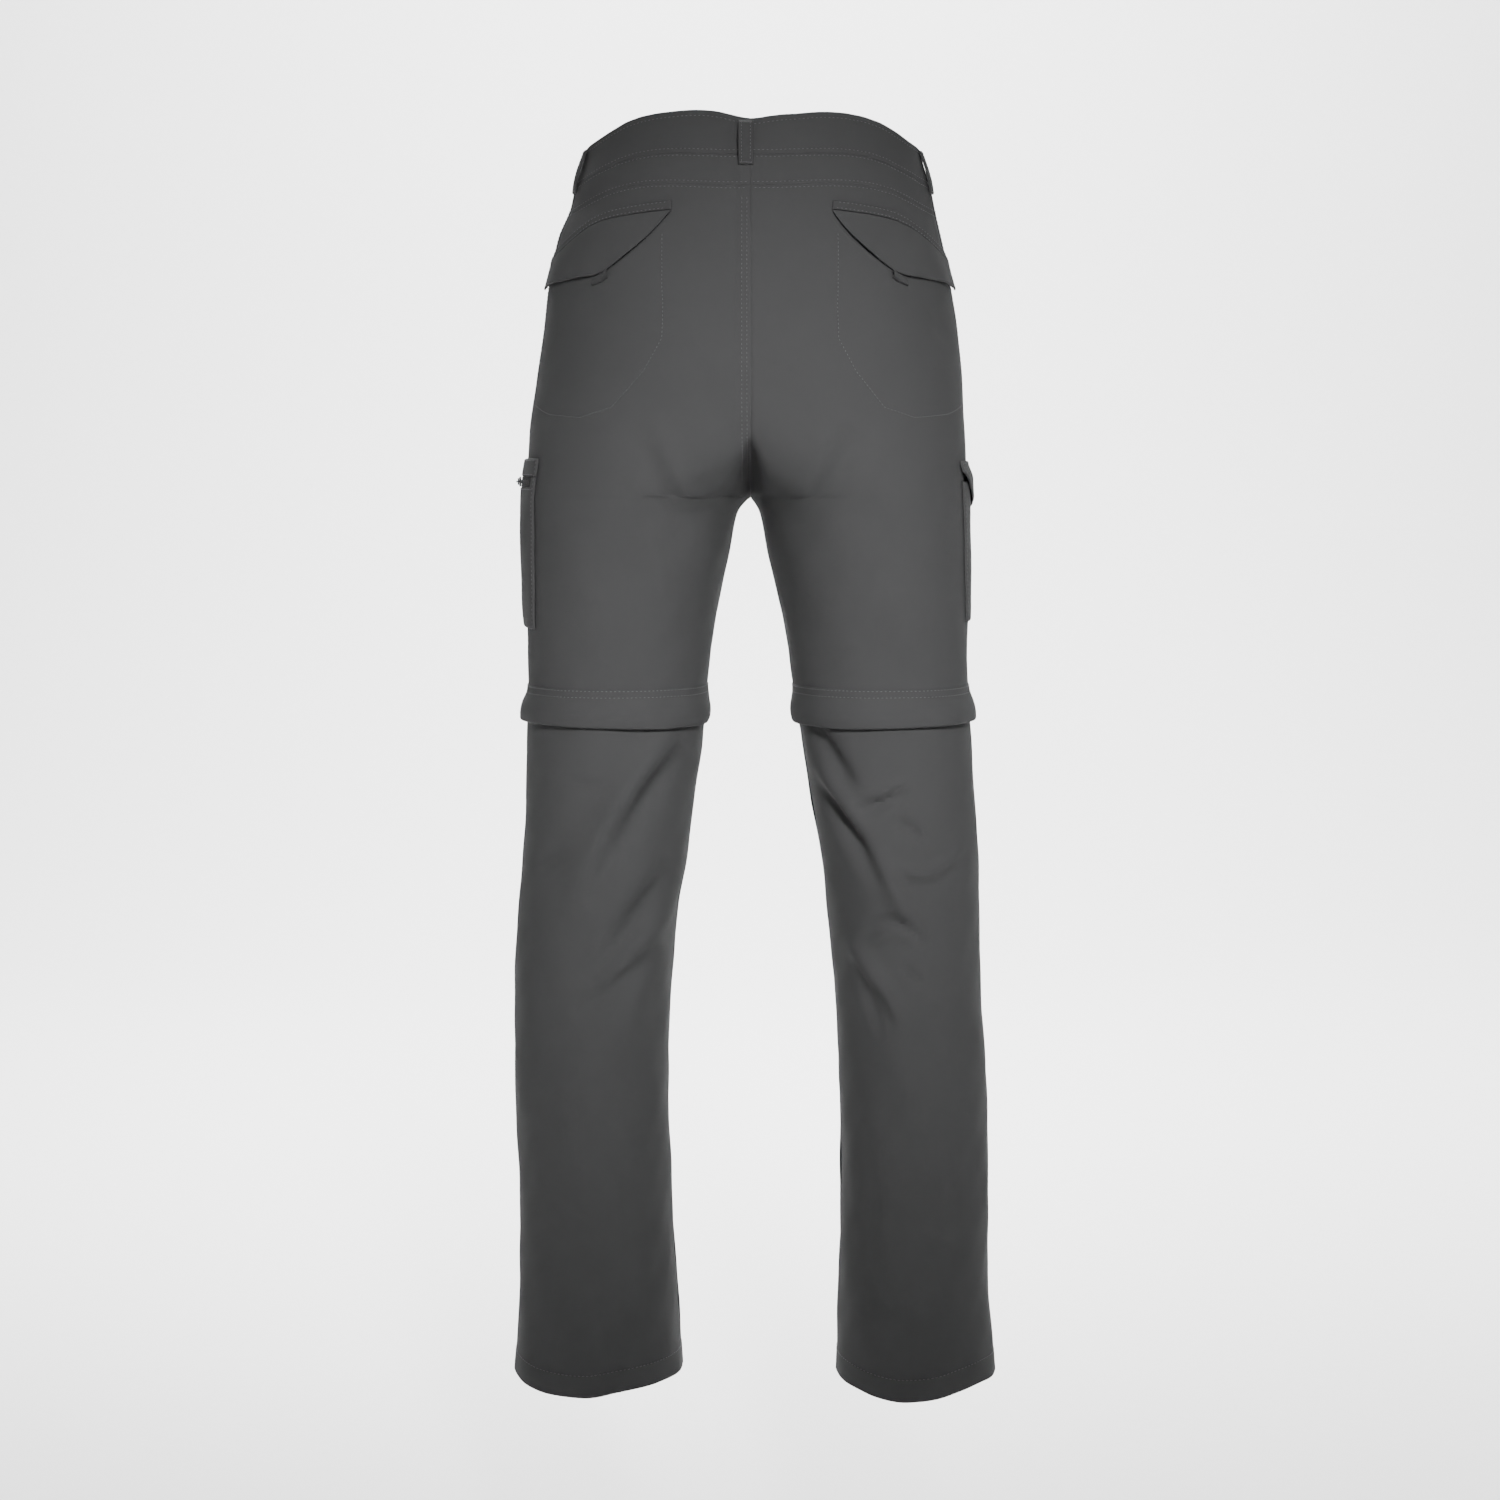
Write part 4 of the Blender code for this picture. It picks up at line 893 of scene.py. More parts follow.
def patch(name, node, side, distance, heights, lift, wall=FLAP_WALL, *kinds, **options):
    """A piece of cloth over a grid of distances from the side and heights."""
    distance, heights = np.broadcast_arrays(distance, heights)
    angles = angle_at(side, distance, heights)
    return cloth(name, node, side, angles, heights, lift, wall, *kinds, **options)


STITCHES = {"left": [], "right": []}


def sew(side, angle, height, lift, length=0.0021, gap=0.0016, cut=False, seams=True):
    """Notes a row of stitches along a line of angles and heights, lying lift over the form."""
    side, angle, height, lift = np.broadcast_arrays(side, angle, height, lift)
    points, normals = skin(side, angle, height, lift, cut, seams)
    reach = run_along(points, 0)
    count = int(reach[-1] / (length + gap))
    if count < 1:
        return
    starts = (np.arange(count) + 0.5) * (length + gap)
    row = [np.stack([np.interp(at, reach, track[:, k]) for k in range(3)], axis=-1)
           for at, track in ((starts - length / 2, points), (starts + length / 2, points), (starts, normals))]
    STITCHES[side_word(side.ravel()[0])].append(row)


def sewn_path(table, side, lift, count=240, **options):
    """A row of stitches through a table of distances and heights."""
    rows = np.array(table)
    run = run_along(rows, 0)
    way = np.linspace(0, run[-1], count)
    distance = np.interp(way, run, rows[:, 0])
    height = np.interp(way, run, rows[:, 1])
    lifts = lift(distance, height) if callable(lift) else lift
    sew(side, angle_at(side, distance, height), height, lifts, **options)


def add_threads(word):
    """All the noted stitches of one side as one mesh of short rounded bars."""
    half_width, rise, sink = 0.00026, 0.00024, 0.00012
    first = np.concatenate([row[0] for row in STITCHES[word]])
    last = np.concatenate([row[1] for row in STITCHES[word]])
    up = np.concatenate([row[2] for row in STITCHES[word]])
    up /= np.linalg.norm(up, axis=1, keepdims=True)
    along = last - first
    reach = np.linalg.norm(along, axis=1, keepdims=True)
    along = along / reach
    across = np.cross(along, up)
    rings = []
    dive = sink * 2.2
    for share, size, drop in ((0.0, 0.45, dive), (0.22, 1.0, 0.0), (0.78, 1.0, 0.0), (1.0, 0.45, dive)):
        centre = first + along * reach * share - up * drop
        for side_step, up_step in ((-1, -0.6), (-0.7, 0.6), (0, 1), (0.7, 0.6), (1, -0.6)):
            height = up_step * rise if up_step > 0 else up_step * sink * 2
            rings.append(centre + across * half_width * side_step * size + up * height * size)
    points = np.stack(rings, axis=1)
    total = points.shape[1]
    quads = []
    for ring in range(3):
        for k in range(5):
            a, b = ring * 5 + k, ring * 5 + (k + 1) % 5
            quads.append((a, b, b + 5, a + 5))
    offset = (np.arange(len(points)) * total)[:, None, None]
    sides = (np.array(quads)[None] + offset).reshape(-1, 4)
    caps = (np.array([(4, 3, 2, 1, 0), (15, 16, 17, 18, 19)])[None] + offset).reshape(-1, 5)
    mesh = bpy.data.meshes.new("threads_" + word)
    mesh.from_pydata(points.reshape(-1, 3).tolist(), [], sides.tolist() + caps.tolist())
    face_outwards(mesh)
    mesh.shade_smooth()
    return link("threads_" + word, mesh, "thread")


def mouth_gape(height):
    """How far the front edge of the hand pocket stands away from the side seam."""
    opening = np.clip((MOUTH_TOP - height) / (MOUTH_TOP - MOUTH_WIDEST), 0, 1)
    closing = np.clip((height - MOUTH_FOOT) / (MOUTH_WIDEST - MOUTH_FOOT), 0, 1)
    return MOUTH_GAPE * opening * closing ** 2


def add_back_panel(side):
    word = side_word(side)
    levels = level_rows(24, -0.110, KNEE + KNEE_ZIP_HALF + SEAM)
    angles, heights = panel_grid(
        side, seam_angle, lambda z: inner_end(side, z), lambda angle: edge(YOKE_FOOT, angle), levels)
    cloth("panel_back_" + word, "back_" + word, side, angles, heights, -WALL, WALL, fold=0.0003,
          rests=["yoke_" + word])


def add_front_panel(side):
    word = side_word(side)
    levels = level_rows(24, -0.110, KNEE + KNEE_ZIP_HALF + SEAM)
    angles, heights = panel_grid(
        side, lambda z: seam_angle(z) - mouth_gape(z) / HIP_REACH,
        lambda z: -inner_end(side, z), lambda angle: edge(BAND_FOOT, angle), levels)
    cloth("panel_front_" + word, "front_" + word, side, angles, heights, -WALL, WALL, fold=0.0006,
          rests=["waistband"])


def hemmed(side, angle, height):
    """Heights of a calf's cloth, drawn to the curve of its hem at the back and straight across at the front."""
    across = (1 - np.cos(angle)) / 2
    outside, inseam = by_side(HEM_CURVE, side, 0.0), by_side(HEM_CURVE, side, 1.0)
    rise = np.where(angle > 0, by_side(HEM_CURVE, side, across), outside + (inseam - outside) * across)
    return height + rise * np.clip((KNEE - height) / (KNEE - HEM), 0, 1) ** 2


def add_calf_panel(side, face):
    word = side_word(side)
    top = KNEE - KNEE_ZIP_HALF - SEAM
    levels = [(1.0, top - place) for place in fine_steps(top - HEM)]
    angles, heights = panel_grid(side, lambda z: 0 * z,
                                 lambda z: face * inner_end(side, z), lambda angle: top + 0 * angle, levels)
    turned_up = 0.0004 * ease((HEM + HEM_TURN_UP - heights) / 0.0012)
    heights = hemmed(side, angles, heights)
    name = "back_" if face > 0 else "front_"
    cloth("calf_" + name + word, "lower_" + name + word, side, angles, heights, -WALL, WALL + turned_up,
          fold=0.0007, rests=["knee_zip_" + word])


def add_hand_pocket(side):
    word = side_word(side)
    heights = np.linspace(MOUTH_TOP - 0.004, MOUTH_FOOT - 0.010, 44)[:, None]
    share = np.linspace(0, 1, 13)[None, :]
    start = seam_angle(heights) + FACING_BACK / HIP_REACH
    angles = start - (FACING_BACK + FACING_FRONT) / HIP_REACH * share
    cloth("pocket_facing_" + word, "hand_pocket_" + word, side, angles, heights * np.ones(angles.shape),
          -(WALL + FACING_GAP + FACING_WALL), FACING_WALL, slot="trim", seams=False, fold=0.0004,
          rests=["front_" + word])


def add_waistband():
    centre = abs(form(1, -math.pi / 2, 0.0)[1])
    under, over = UNDERLAP / WAIST_REACH, OVERLAP / WAIST_REACH
    turns = np.linspace(-under, 2 * math.pi + over, 300)
    right = ((turns >= 0) & (turns <= math.pi)) | (turns > 2 * math.pi)
    side = np.where(right, -1, 1)
    past = np.where(turns > 2 * math.pi, turns - 2 * math.pi, turns)
    left_turn = np.where(turns < 0, -math.pi / 2 - turns, 1.5 * math.pi - turns)
    angle = np.where(right, past - math.pi / 2, left_turn)
    ramp = ease(((turns + under) * centre - UNDERLAP_FLAT) / UNDERLAP_RAMP)
    tuck = -(BAND_WALL + LIFT) * (1 - ramp)
    top, foot = rim(side, angle), edge(BAND_FOOT, angle)
    share = fine_steps(0.033, 0.003) / 0.033
    heights = top[None, :] * (1 - share[:, None]) + foot[None, :] * share[:, None]
    grid = np.ones((len(share), 1))
    wave = 0.0005 * np.sin(11 * turns + 0.6)
    soft = np.sin(math.pi * share)[:, None] * wave[None, :]
    cloth("waistband_cloth", "waistband", side * grid, angle * grid, heights, tuck * grid - BAND_WALL + soft,
          BAND_WALL, seams=False, fold=0.0005, held="stretched")
    inside = (turns > 0.02) & (turns < 2 * math.pi + over - 0.01)
    for flip, word_side in ((right, -1), (~right, 1)):
        run = inside & flip & (turns < 2 * math.pi)
        for level, down in ((top - 0.0048, 0.15), (foot + 0.0040, 0.88)):
            sew(word_side, angle[run], level[run], math.sin(math.pi * down) * wave[run], seams=False)


def add_yoke(side):
    word = side_word(side)
    start = seam_angle(SEAM_TURN_TOP)
    end = inner_end(side, np.array(0.0))
    length = 0.20
    share = fine_steps(length) / length
    angle = start + (end - start) * share
    top, foot = edge(BAND_FOOT, angle), edge(YOKE_FOOT, angle)
    down = fine_steps(0.027, 0.003) / 0.027
    heights = top[None, :] * (1 - down[:, None]) + foot[None, :] * down[:, None]
    cloth("yoke_cloth_" + word, "yoke_" + word, side, angle[None, :], heights, -WALL, WALL, fold=0.0003,
          rests=["waistband"])
    path = np.linspace(start + 0.01, end - 0.004, 300)
    sew(side, path, edge(BAND_FOOT, path) - 0.0016, 0.0)
    sew(side, path, edge(YOKE_FOOT, path) + 0.0028, 0.0)
    sew(side, path, edge(YOKE_FOOT, path) - 0.0022, 0.0)


def add_belt_loop(node, side, place):
    share = fine_steps(1.0, 0.06, np.array([0.0, 0.012, 0.03, 0.06]))[:, None]
    width = 0.0125
    across = (fine_steps(width, 0.0012, SMALL_EDGE_STEPS) - width / 2)[None, :]
    top = float(rim(side, angle_at(side, place, 0.0))) - LOOP_TOP
    centred = node == "belt_loop_back"
    stand = LOOP_STAND * (2.2 if centred else 1.0)

    def turn(offset, height):
        if centred:
            return turn_of(side, 1, BACK_LOOP_OUT - offset, height)
        return angle_at(side, place + offset, height)

    def rise(offset, down):
        twist = (0.5 - offset / width) if centred else 0.5
        bow = np.sin(math.pi * down) ** 0.8
        return LIFT + 0.0002 + stand * bow * (0.3 + 0.7 * twist * (1.3 - 0.6 * down))

    heights = top - LOOP_LENGTH * share + 0 * across
    cloth("cloth_" + node, node, side, turn(across + 0 * share, heights), heights, rise(across, share), WALL,
          "trim", "trim", cut=False, seams=False, fold=0.0007, rests=["waistband"])
    down = np.linspace(0.03, 0.97, 60)

    def sew_loop(offset, down, level, length, gap):
        lift = rise(offset, down) + WALL
        sew(side, turn(np.full(level.shape, offset), level), level, lift, length, gap, seams=False)

    for offset in (-0.0036, 0.0036):
        sew_loop(offset, down, top - LOOP_LENGTH * down, 0.0021, 0.0008)
    for down in (0.05, 0.95):
        level = top - LOOP_LENGTH * down + np.linspace(-0.0008, 0.0008, 4)
        for offset in np.arange(-0.0048, 0.0049, 0.0006):
            sew_loop(offset, down, level, 0.0013, 0.0002)


def tack(side, distance, height, lift, reach, upright=False):
    """Bar tack: close stitches side by side across a short line."""
    offsets = np.linspace(-reach, reach, max(3, int(reach / 0.0004)))
    for offset in offsets:
        if upright:
            path_d, path_z = distance + np.linspace(-0.0009, 0.0009, 4), np.full(4, height + offset)
        else:
            path_d, path_z = np.full(4, distance + offset), height + np.linspace(-0.0009, 0.0009, 4)
        sew(side, angle_at(side, path_d, path_z), path_z, lift, length=0.0014, gap=0.0003, seams=False)


def flap_edges(table, distance):
    rows = np.array(table)
    return np.interp(distance, rows[:, 0], rows[:, 1]), np.interp(distance, rows[:, 0], rows[:, 2])


def add_back_pocket(side):
    """Top strip, pointed flap, the folded tab under its point, and the bag's stitches on the panel."""
    word = side_word(side)
    first, last = POCKET_FLAP[0][0], POCKET_FLAP[-1][0]
    distance = first + fine_steps(last - first, 0.0025)
    top, foot = flap_edges(POCKET_FLAP, distance)
    down = (fine_steps(STRIP_HEIGHT, 0.001, np.array([0.0, 0.0005, 0.0012])) / STRIP_HEIGHT)[:, None]
    heights = top - STRIP_HEIGHT * down
    upright = distance - STRIP_SLANT * (1 - down) * ease((distance - first) / (last - first))
    patch("pocket_strip_" + word, "back_pocket_strip_" + word, side, upright, heights, LIFT * 0.4, FLAP_WALL,
          "trim", "trim", fold=0.0006, rests=["back_" + word])

    def flap_lift(share, place):
        wave = 0.0007 * np.sin(place * 160 + 0.5 * side) + 0.0010 * np.exp(-(((place - 0.137) / 0.010) ** 2))
        return LIFT + (FLAP_STAND + wave) * share ** 1.2

    down = (fine_steps(0.05, 0.0025) / 0.05)[:, None]
    heights = (top - STRIP_HEIGHT - SEAM) * (1 - down) + foot * down
    patch("pocket_flap_" + word, "back_pocket_flap_" + word, side, distance, heights,
          flap_lift(down, distance[None, :]), rests=["back_pocket_strip_" + word])

    for inset, short in ((STRIP_HEIGHT - 0.0016, 0.003), (0.0012, 0.0035)):
        path = np.linspace(first + 0.004, last - short, 260)
        level = flap_edges(POCKET_FLAP, path)[0] - inset
        sew(side, angle_at(side, path, level), level, LIFT * 0.4 + FLAP_WALL)

    distance = TAB_PLACE + fine_steps(TAB_WIDTH, 0.0014, SMALL_EDGE_STEPS) - TAB_WIDTH / 2
    _, foot = flap_edges(POCKET_FLAP, distance)
    down = (fine_steps(1.0, 0.1, np.array([0.0, 0.03, 0.07, 0.13])))[:, None]
    heights = foot - SEAM - LIFT - TAB_LENGTH * down
    aside = np.clip((distance - TAB_PLACE) / TAB_WIDTH + 0.5, 0, 1)
    lift = LIFT + (0.0008 + 0.0034 * aside[None, :] ** 1.5) * np.sin(math.pi * np.clip(down * 0.8 + 0.2, 0, 1))
    patch("pull_tab_" + word, "flap_tab_" + word, side, distance, heights, lift, FLAP_WALL, "trim", "trim",
          rests=["back_pocket_flap_" + word])
    sewn_path(POCKET_BAG, side, 0.0, count=400, length=0.0022, gap=0.0012)


def pocket_swell(distance, height, back, front, top, foot, amount):
    """Soft swelling of a patch pocket, nothing at its sewn edges."""
    across = np.clip((distance - front) / (back - front), 0, 1)
    down = np.clip((top - height) / (top - foot), 0, 1)
    return amount * np.sin(math.pi * across) ** 0.5 * np.sin(math.pi * down) ** 0.35


def zip_pocket_edge(heights):
    """Distance of the zipped pocket's back edge from the side of the thigh."""
    down = (ZIP_POCKET_TOP - heights) / (ZIP_POCKET_TOP - ZIP_POCKET_FOOT)
    return ZIP_POCKET_BACK[0] * (1 - down) + ZIP_POCKET_BACK[1] * down


def zip_pocket_place(share_across, heights):
    """Distance and lift at a share of the way across the zipped pocket."""
    back = zip_pocket_edge(heights)
    distance = back - ZIP_POCKET_WIDTH * share_across
    lift = LIFT + pocket_swell(distance, heights, back, back - ZIP_POCKET_WIDTH,
                               ZIP_POCKET_TOP, ZIP_POCKET_FOOT, POCKET_BULGE)
    return distance, lift


def add_zip_pocket():
    """Left cargo pocket: a top strip, a zip with its teeth, and the bag panel round and below it."""
    side = 1
    ends = [(ZIP_POCKET_BACK[0] - end) / ZIP_POCKET_WIDTH for end in (ZIP_BACK, ZIP_FRONT)]
    before = fine_steps(ends[0] * ZIP_POCKET_WIDTH - 0.0003, 0.003, ZIP_EDGE_STEPS) / ZIP_POCKET_WIDTH
    along = fine_steps((ends[1] - ends[0]) * ZIP_POCKET_WIDTH, 0.003, ZIP_EDGE_STEPS)
    inside = ends[0] + along / ZIP_POCKET_WIDTH
    after = 1.0 - before[::-1] / before[-1] * (1 - ends[1] - 0.002)
    share = np.concatenate([before, inside, after])[None, :]

    down = fine_steps(ZIP_POCKET_TOP - ZIP_HEIGHT - ZIP_HALF - HALF_SEAM, 0.0025, ZIP_EDGE_STEPS)[:, None]
    heights = ZIP_POCKET_TOP - down + 0 * share
    distance, lift = zip_pocket_place(share, heights)
    patch("zip_pocket_top", "cargo_pocket_left_top", side, distance, heights, lift,
          rests=["back_left", "front_left"])

    tape = np.linspace(ends[0] + ZIP_CORNER, ends[1] - ZIP_CORNER, 90)[None, :]
    rows = np.linspace(ZIP_HALF - HALF_SEAM, HALF_SEAM - ZIP_HALF, 15)[:, None]
    heights = ZIP_HEIGHT + rows + 0 * tape
    distance, lift = zip_pocket_place(tape, heights)
    patch("zip_tape", "cargo_zip_tape", side, distance, heights, lift, TAPE_WALL, "tape", "zip_tape", fold=0.0,
          rests=["cargo_pocket_left_top", "cargo_pocket_left"])

    beside = (share[0] < ends[0] - 1e-6) | (share[0] > ends[1] + 1e-6)
    top = np.where(beside, ZIP_HEIGHT + ZIP_HALF - HALF_SEAM, ZIP_HEIGHT - ZIP_HALF - HALF_SEAM)
    length = ZIP_HEIGHT - ZIP_HALF - ZIP_POCKET_FOOT
    down = (fine_steps(length, 0.0035) / length)[:, None]
    heights = top * (1 - down) + ZIP_POCKET_FOOT * down
    distance, lift = zip_pocket_place(share, heights)
    patch("zip_pocket_bag", "cargo_pocket_left", side, distance, heights, lift,
          rests=["back_left", "front_left"])

    def on_pocket(distance, height):
        across = (zip_pocket_edge(height) - distance) / ZIP_POCKET_WIDTH
        return zip_pocket_place(across, height)[1] + FLAP_WALL

    top_z, foot_z = ZIP_POCKET_TOP - 0.0018, ZIP_POCKET_FOOT + 0.0018
    back_top, back_foot = ZIP_POCKET_BACK[0] - 0.0018, ZIP_POCKET_BACK[1] - 0.0018
    front_top, front_foot = back_top - ZIP_POCKET_WIDTH + 0.0036, back_foot - ZIP_POCKET_WIDTH + 0.0036
    outline = ((back_top, top_z), (back_foot, foot_z), (front_foot, foot_z), (front_top, top_z))
    sewn_path((*outline, outline[0]), side, on_pocket, count=900)
    for offset in (0.0018, -0.0018):
        level = ZIP_HEIGHT + math.copysign(ZIP_HALF, offset) + offset
        sewn_path(((ZIP_BACK + 0.002, level), (ZIP_FRONT - 0.002, level)), side, on_pocket, count=300)
    add_teeth()


def add_teeth():
    """Two rows of coil teeth that mesh along the middle of the tape."""
    side = 1
    places = np.arange(ZIP_FRONT + 0.004, ZIP_BACK - 0.004, TOOTH_PITCH)
    mesh = bpy.data.meshes.new("zip_teeth")
    shape = bmesh.new()
    for row, offset in ((1, 0.0), (-1, TOOTH_PITCH / 2)):
        distance = places + offset
        height = np.full(distance.shape, ZIP_HEIGHT + row * 0.0007)
        _, lift = zip_pocket_place((zip_pocket_edge(height) - distance) / ZIP_POCKET_WIDTH, height)
        points, normals = skin(side, angle_at(side, distance, height), height, lift + TAPE_WALL, seams=False)
        ahead = np.gradient(points, axis=0)
        ahead /= np.linalg.norm(ahead, axis=1, keepdims=True)
        for point, normal, way in zip(points, normals, ahead):
            up = np.cross(normal, way)
            ring = []
            for turn in np.linspace(0, 2 * math.pi, 9)[:-1]:
                spot = point + normal * (0.00035 + 0.00045 * math.sin(turn)) + up * 0.0011 * math.cos(turn)
                ring.append((spot - way * 0.00026, spot + way * 0.00026))
            low = [shape.verts.new(tuple(a)) for a, _ in ring]
            high = [shape.verts.new(tuple(b)) for _, b in ring]
            for k in range(8):
                shape.faces.new((low[k], low[(k + 1) % 8], high[(k + 1) % 8], high[k]))
            shape.faces.new(low[::-1])
            shape.faces.new(high)
    bmesh.ops.recalc_face_normals(shape, faces=shape.faces)
    shape.to_mesh(mesh)
    shape.free()
    mesh.shade_smooth()
    mesh.set_sharp_from_angle(angle=math.radians(40))
    link("zip_teeth", mesh, "coil")


def flap_pocket_place(distance, height):
    down = (FLAP_POCKET_TOP - height) / (FLAP_POCKET_TOP - FLAP_POCKET_FOOT)
    back = FLAP_POCKET_BACK[0] * (1 - down) + FLAP_POCKET_BACK[1] * down
    lift = LIFT + pocket_swell(distance, height, back, back - FLAP_POCKET_WIDTH,
                               FLAP_POCKET_TOP, FLAP_POCKET_FOOT, CARGO_BULGE)
    return back, lift


def add_flap_pocket():
    """Right cargo pocket: a bag panel with a pointed flap over its mouth."""
    side = -1
    share = (fine_steps(FLAP_POCKET_WIDTH, 0.0035) / FLAP_POCKET_WIDTH)[None, :]
    heights = FLAP_POCKET_TOP - fine_steps(FLAP_POCKET_TOP - FLAP_POCKET_FOOT, 0.0035)[:, None] + 0 * share
    back, _ = flap_pocket_place(np.zeros(heights.shape), heights)
    distance = back - FLAP_POCKET_WIDTH * share
    _, lift = flap_pocket_place(distance, heights)
    patch("flap_pocket_bag", "cargo_pocket_right", side, distance, heights, lift,
          rests=["back_right", "front_right"])

    first, last = CARGO_FLAP[0][0], CARGO_FLAP[-1][0]
    distance = first + fine_steps(last - first, 0.003)
    top, foot = flap_edges(CARGO_FLAP, distance)
    down = (fine_steps(0.04, 0.002) / 0.04)[:, None]
    heights = top * (1 - down) + foot * down
    neck = FLAP_POCKET_TOP + CARGO_FLAP_NECK
    stand = ease((top - heights) / (top - neck)) * (1 + 0.10 * np.sin(distance * 90))
    patch("cargo_flap", "cargo_flap_right", side, distance, heights, LIFT + CARGO_FLAP_STAND * stand,
          rests=["cargo_pocket_right"])

    def on_flap(distance, height):
        top, _ = flap_edges(CARGO_FLAP, distance)
        stand = ease((top - height) / (top - neck)) * (1 + 0.10 * np.sin(distance * 90))
        return LIFT + CARGO_FLAP_STAND * stand + FLAP_WALL

    def on_bag(distance, height):
        return flap_pocket_place(distance, height)[1] + FLAP_WALL

    rows = np.array(CARGO_FLAP)
    line = [(rows[0, 0] + 0.002, rows[0, 1] - 0.002)]
    line += [(d, f + 0.0024) for d, _, f in CARGO_FLAP]
    line[1] = (rows[0, 0] + 0.002, rows[0, 2] + 0.0024)
    line[-1] = (rows[-1, 0] - 0.002, rows[-1, 2] + 0.0024)
    line += [(rows[-1, 0] - 0.002, rows[-1, 1] - 0.002), line[0]]
    sewn_path(line, side, on_flap, count=900)
    top_z, foot_z = neck - 0.012, FLAP_POCKET_FOOT + 0.0018
    back_top, back_foot = FLAP_POCKET_BACK[0] - 0.0032, FLAP_POCKET_BACK[1] - 0.0018
    outline = ((back_top, top_z), (back_foot, foot_z), (back_foot - FLAP_POCKET_WIDTH + 0.0036, foot_z),
               (back_top - FLAP_POCKET_WIDTH + 0.0050, top_z))
    sewn_path(outline, side, on_bag, count=800)


def add_knee(side):
    """Storm flap round the knee, the zip under it and the zip's slider."""
    word = side_word(side)
    rows = np.array(KNEE_FLAP)
    levels = np.linspace(rows[0, 0], rows[-1, 0], 20)
    near_edges = [rows[0, 0] - 0.0005, rows[-1, 0] + 0.0005, rows[-1, 0] + 0.0012]
    levels = np.sort(np.concatenate([levels, near_edges]))[::-1]
    turns = np.linspace(0, 2 * math.pi, 181)
    angle = np.where(turns > math.pi, turns - 2 * math.pi, turns)[None, :]
    wave = 0.0007 * np.sin(3 * turns + 0.7 * side) + 0.0005 * np.sin(7 * turns + 1.1)

    def flap_lift(height, uneven):
        base = np.interp(-height, -rows[:, 0], rows[:, 1])
        loose = ease((KNEE_ROWS[1] - height) / 0.010)
        return base + loose * uneven

    heights = levels[:, None] + 0 * angle
    sag = 0.0012 * np.sin(2 * turns + 0.4)[None, :] * ease((KNEE_ROWS[1] - heights) / 0.02)
    cloth("storm_flap_" + word, "knee_flap_" + word, side, angle + 0 * heights, heights + sag,
          flap_lift(heights, wave[None, :]), FLAP_WALL, ring=True, rests=["front_" + word, "back_" + word])
    for level in KNEE_ROWS:
        for turn_part in (turns[turns <= math.pi], turns[turns >= math.pi] - 2 * math.pi):
            line = np.full(turn_part.shape, level)
            sew(side, turn_part, line, flap_lift(line, 0.0) + FLAP_WALL)

    levels = KNEE + np.linspace(KNEE_ZIP_HALF, -KNEE_ZIP_HALF, 15)[:, None]
    coil = KNEE_COIL * (np.abs(levels - KNEE) < 0.0018)
    teeth = 0.00018 * np.sin(turns * 190)[None, :] * (coil > 0)
    cloth("knee_zip_cloth_" + word, "knee_zip_" + word, side, angle + 0 * levels, levels + 0 * angle, -WALL,
          WALL + coil + teeth, "tape", "zip_tape", ring=True, fold=0.0, seams=False, rests=["front_" + word])

    height = KNEE + fine_steps(KNEE_SLIDER_HEIGHT, 0.001, SLIDER_EDGE_STEPS) - KNEE_SLIDER_HEIGHT / 2
    across = fine_steps(KNEE_SLIDER_WIDTH, 0.001, SLIDER_EDGE_STEPS) - KNEE_SLIDER_WIDTH / 2
    angle = KNEE_SLIDER_ANGLE + across[None, :] / KNEE_REACH
    spread = np.broadcast_arrays(angle, height[:, None])
    outer, _ = skin(side, spread[0], spread[1], KNEE_COIL + SEAM + KNEE_SLIDER_WALL, seams=False)
    inner, _ = skin(side, spread[0], spread[1], KNEE_COIL + SEAM, seams=False)
    slider = lay("knee_slider_body_" + word, outer, inner, "metal")
    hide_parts("knee_slider_" + word)


def add_front_sewing(side):
    """Stitches of the fly, the crotch seams, the hand pockets and the hems."""
    if side > 0:
        for face, top, count in ((1, -0.026, 420), (-1, -0.190, 160)):
            z = np.linspace(top, CROTCH_ROWS_FOOT, count)
            for x in CROTCH_ROWS:
                sew(side, turn_of(side, face, x, z), z, 0.0)
        for inset in (0.0, 0.0055):
            t = np.linspace(0, 1, 300)
            z = -0.046 - (0.146 - inset) * t
            x = (0.037 - inset) * np.sqrt(np.clip(1 - ease((t - 0.66) / 0.34) ** 2, 0.006, 1))
            sew(side, turn_of(side, -1, x, z), z, 0.0)
    z = np.linspace(MOUTH_TOP - 0.012, MOUTH_FOOT + 0.006, 260)
    for inset in (0.0022, 0.0075):
        angle = seam_angle(z) - (mouth_gape(z) + inset) / HIP_REACH
        sew(side, angle, z, 0.0)
    for place in (MOUTH_TOP - 0.012, MOUTH_FOOT):
        angle = seam_angle(np.array(place)) - 0.004 / HIP_REACH
        middle = float(np.sign(angle) * np.linalg.norm(form(side, angle, place) - form(side, 0.0, place)))
        tack(side, middle, place, 0.0004, 0.0035)
    path = np.linspace(-seam_angle(0.0) * 0.2, -math.pi / 2 + 0.01, 260)
    sew(side, path, edge(BAND_FOOT, path) - 0.0018, 0.0)
    turns = np.linspace(0.004, math.pi - 0.004, 260)
    for face in (1, -1):
        sew(side, face * turns, hemmed(side, face * turns, np.full(turns.shape, HEM + HEM_TURN_UP)), 0.0004)


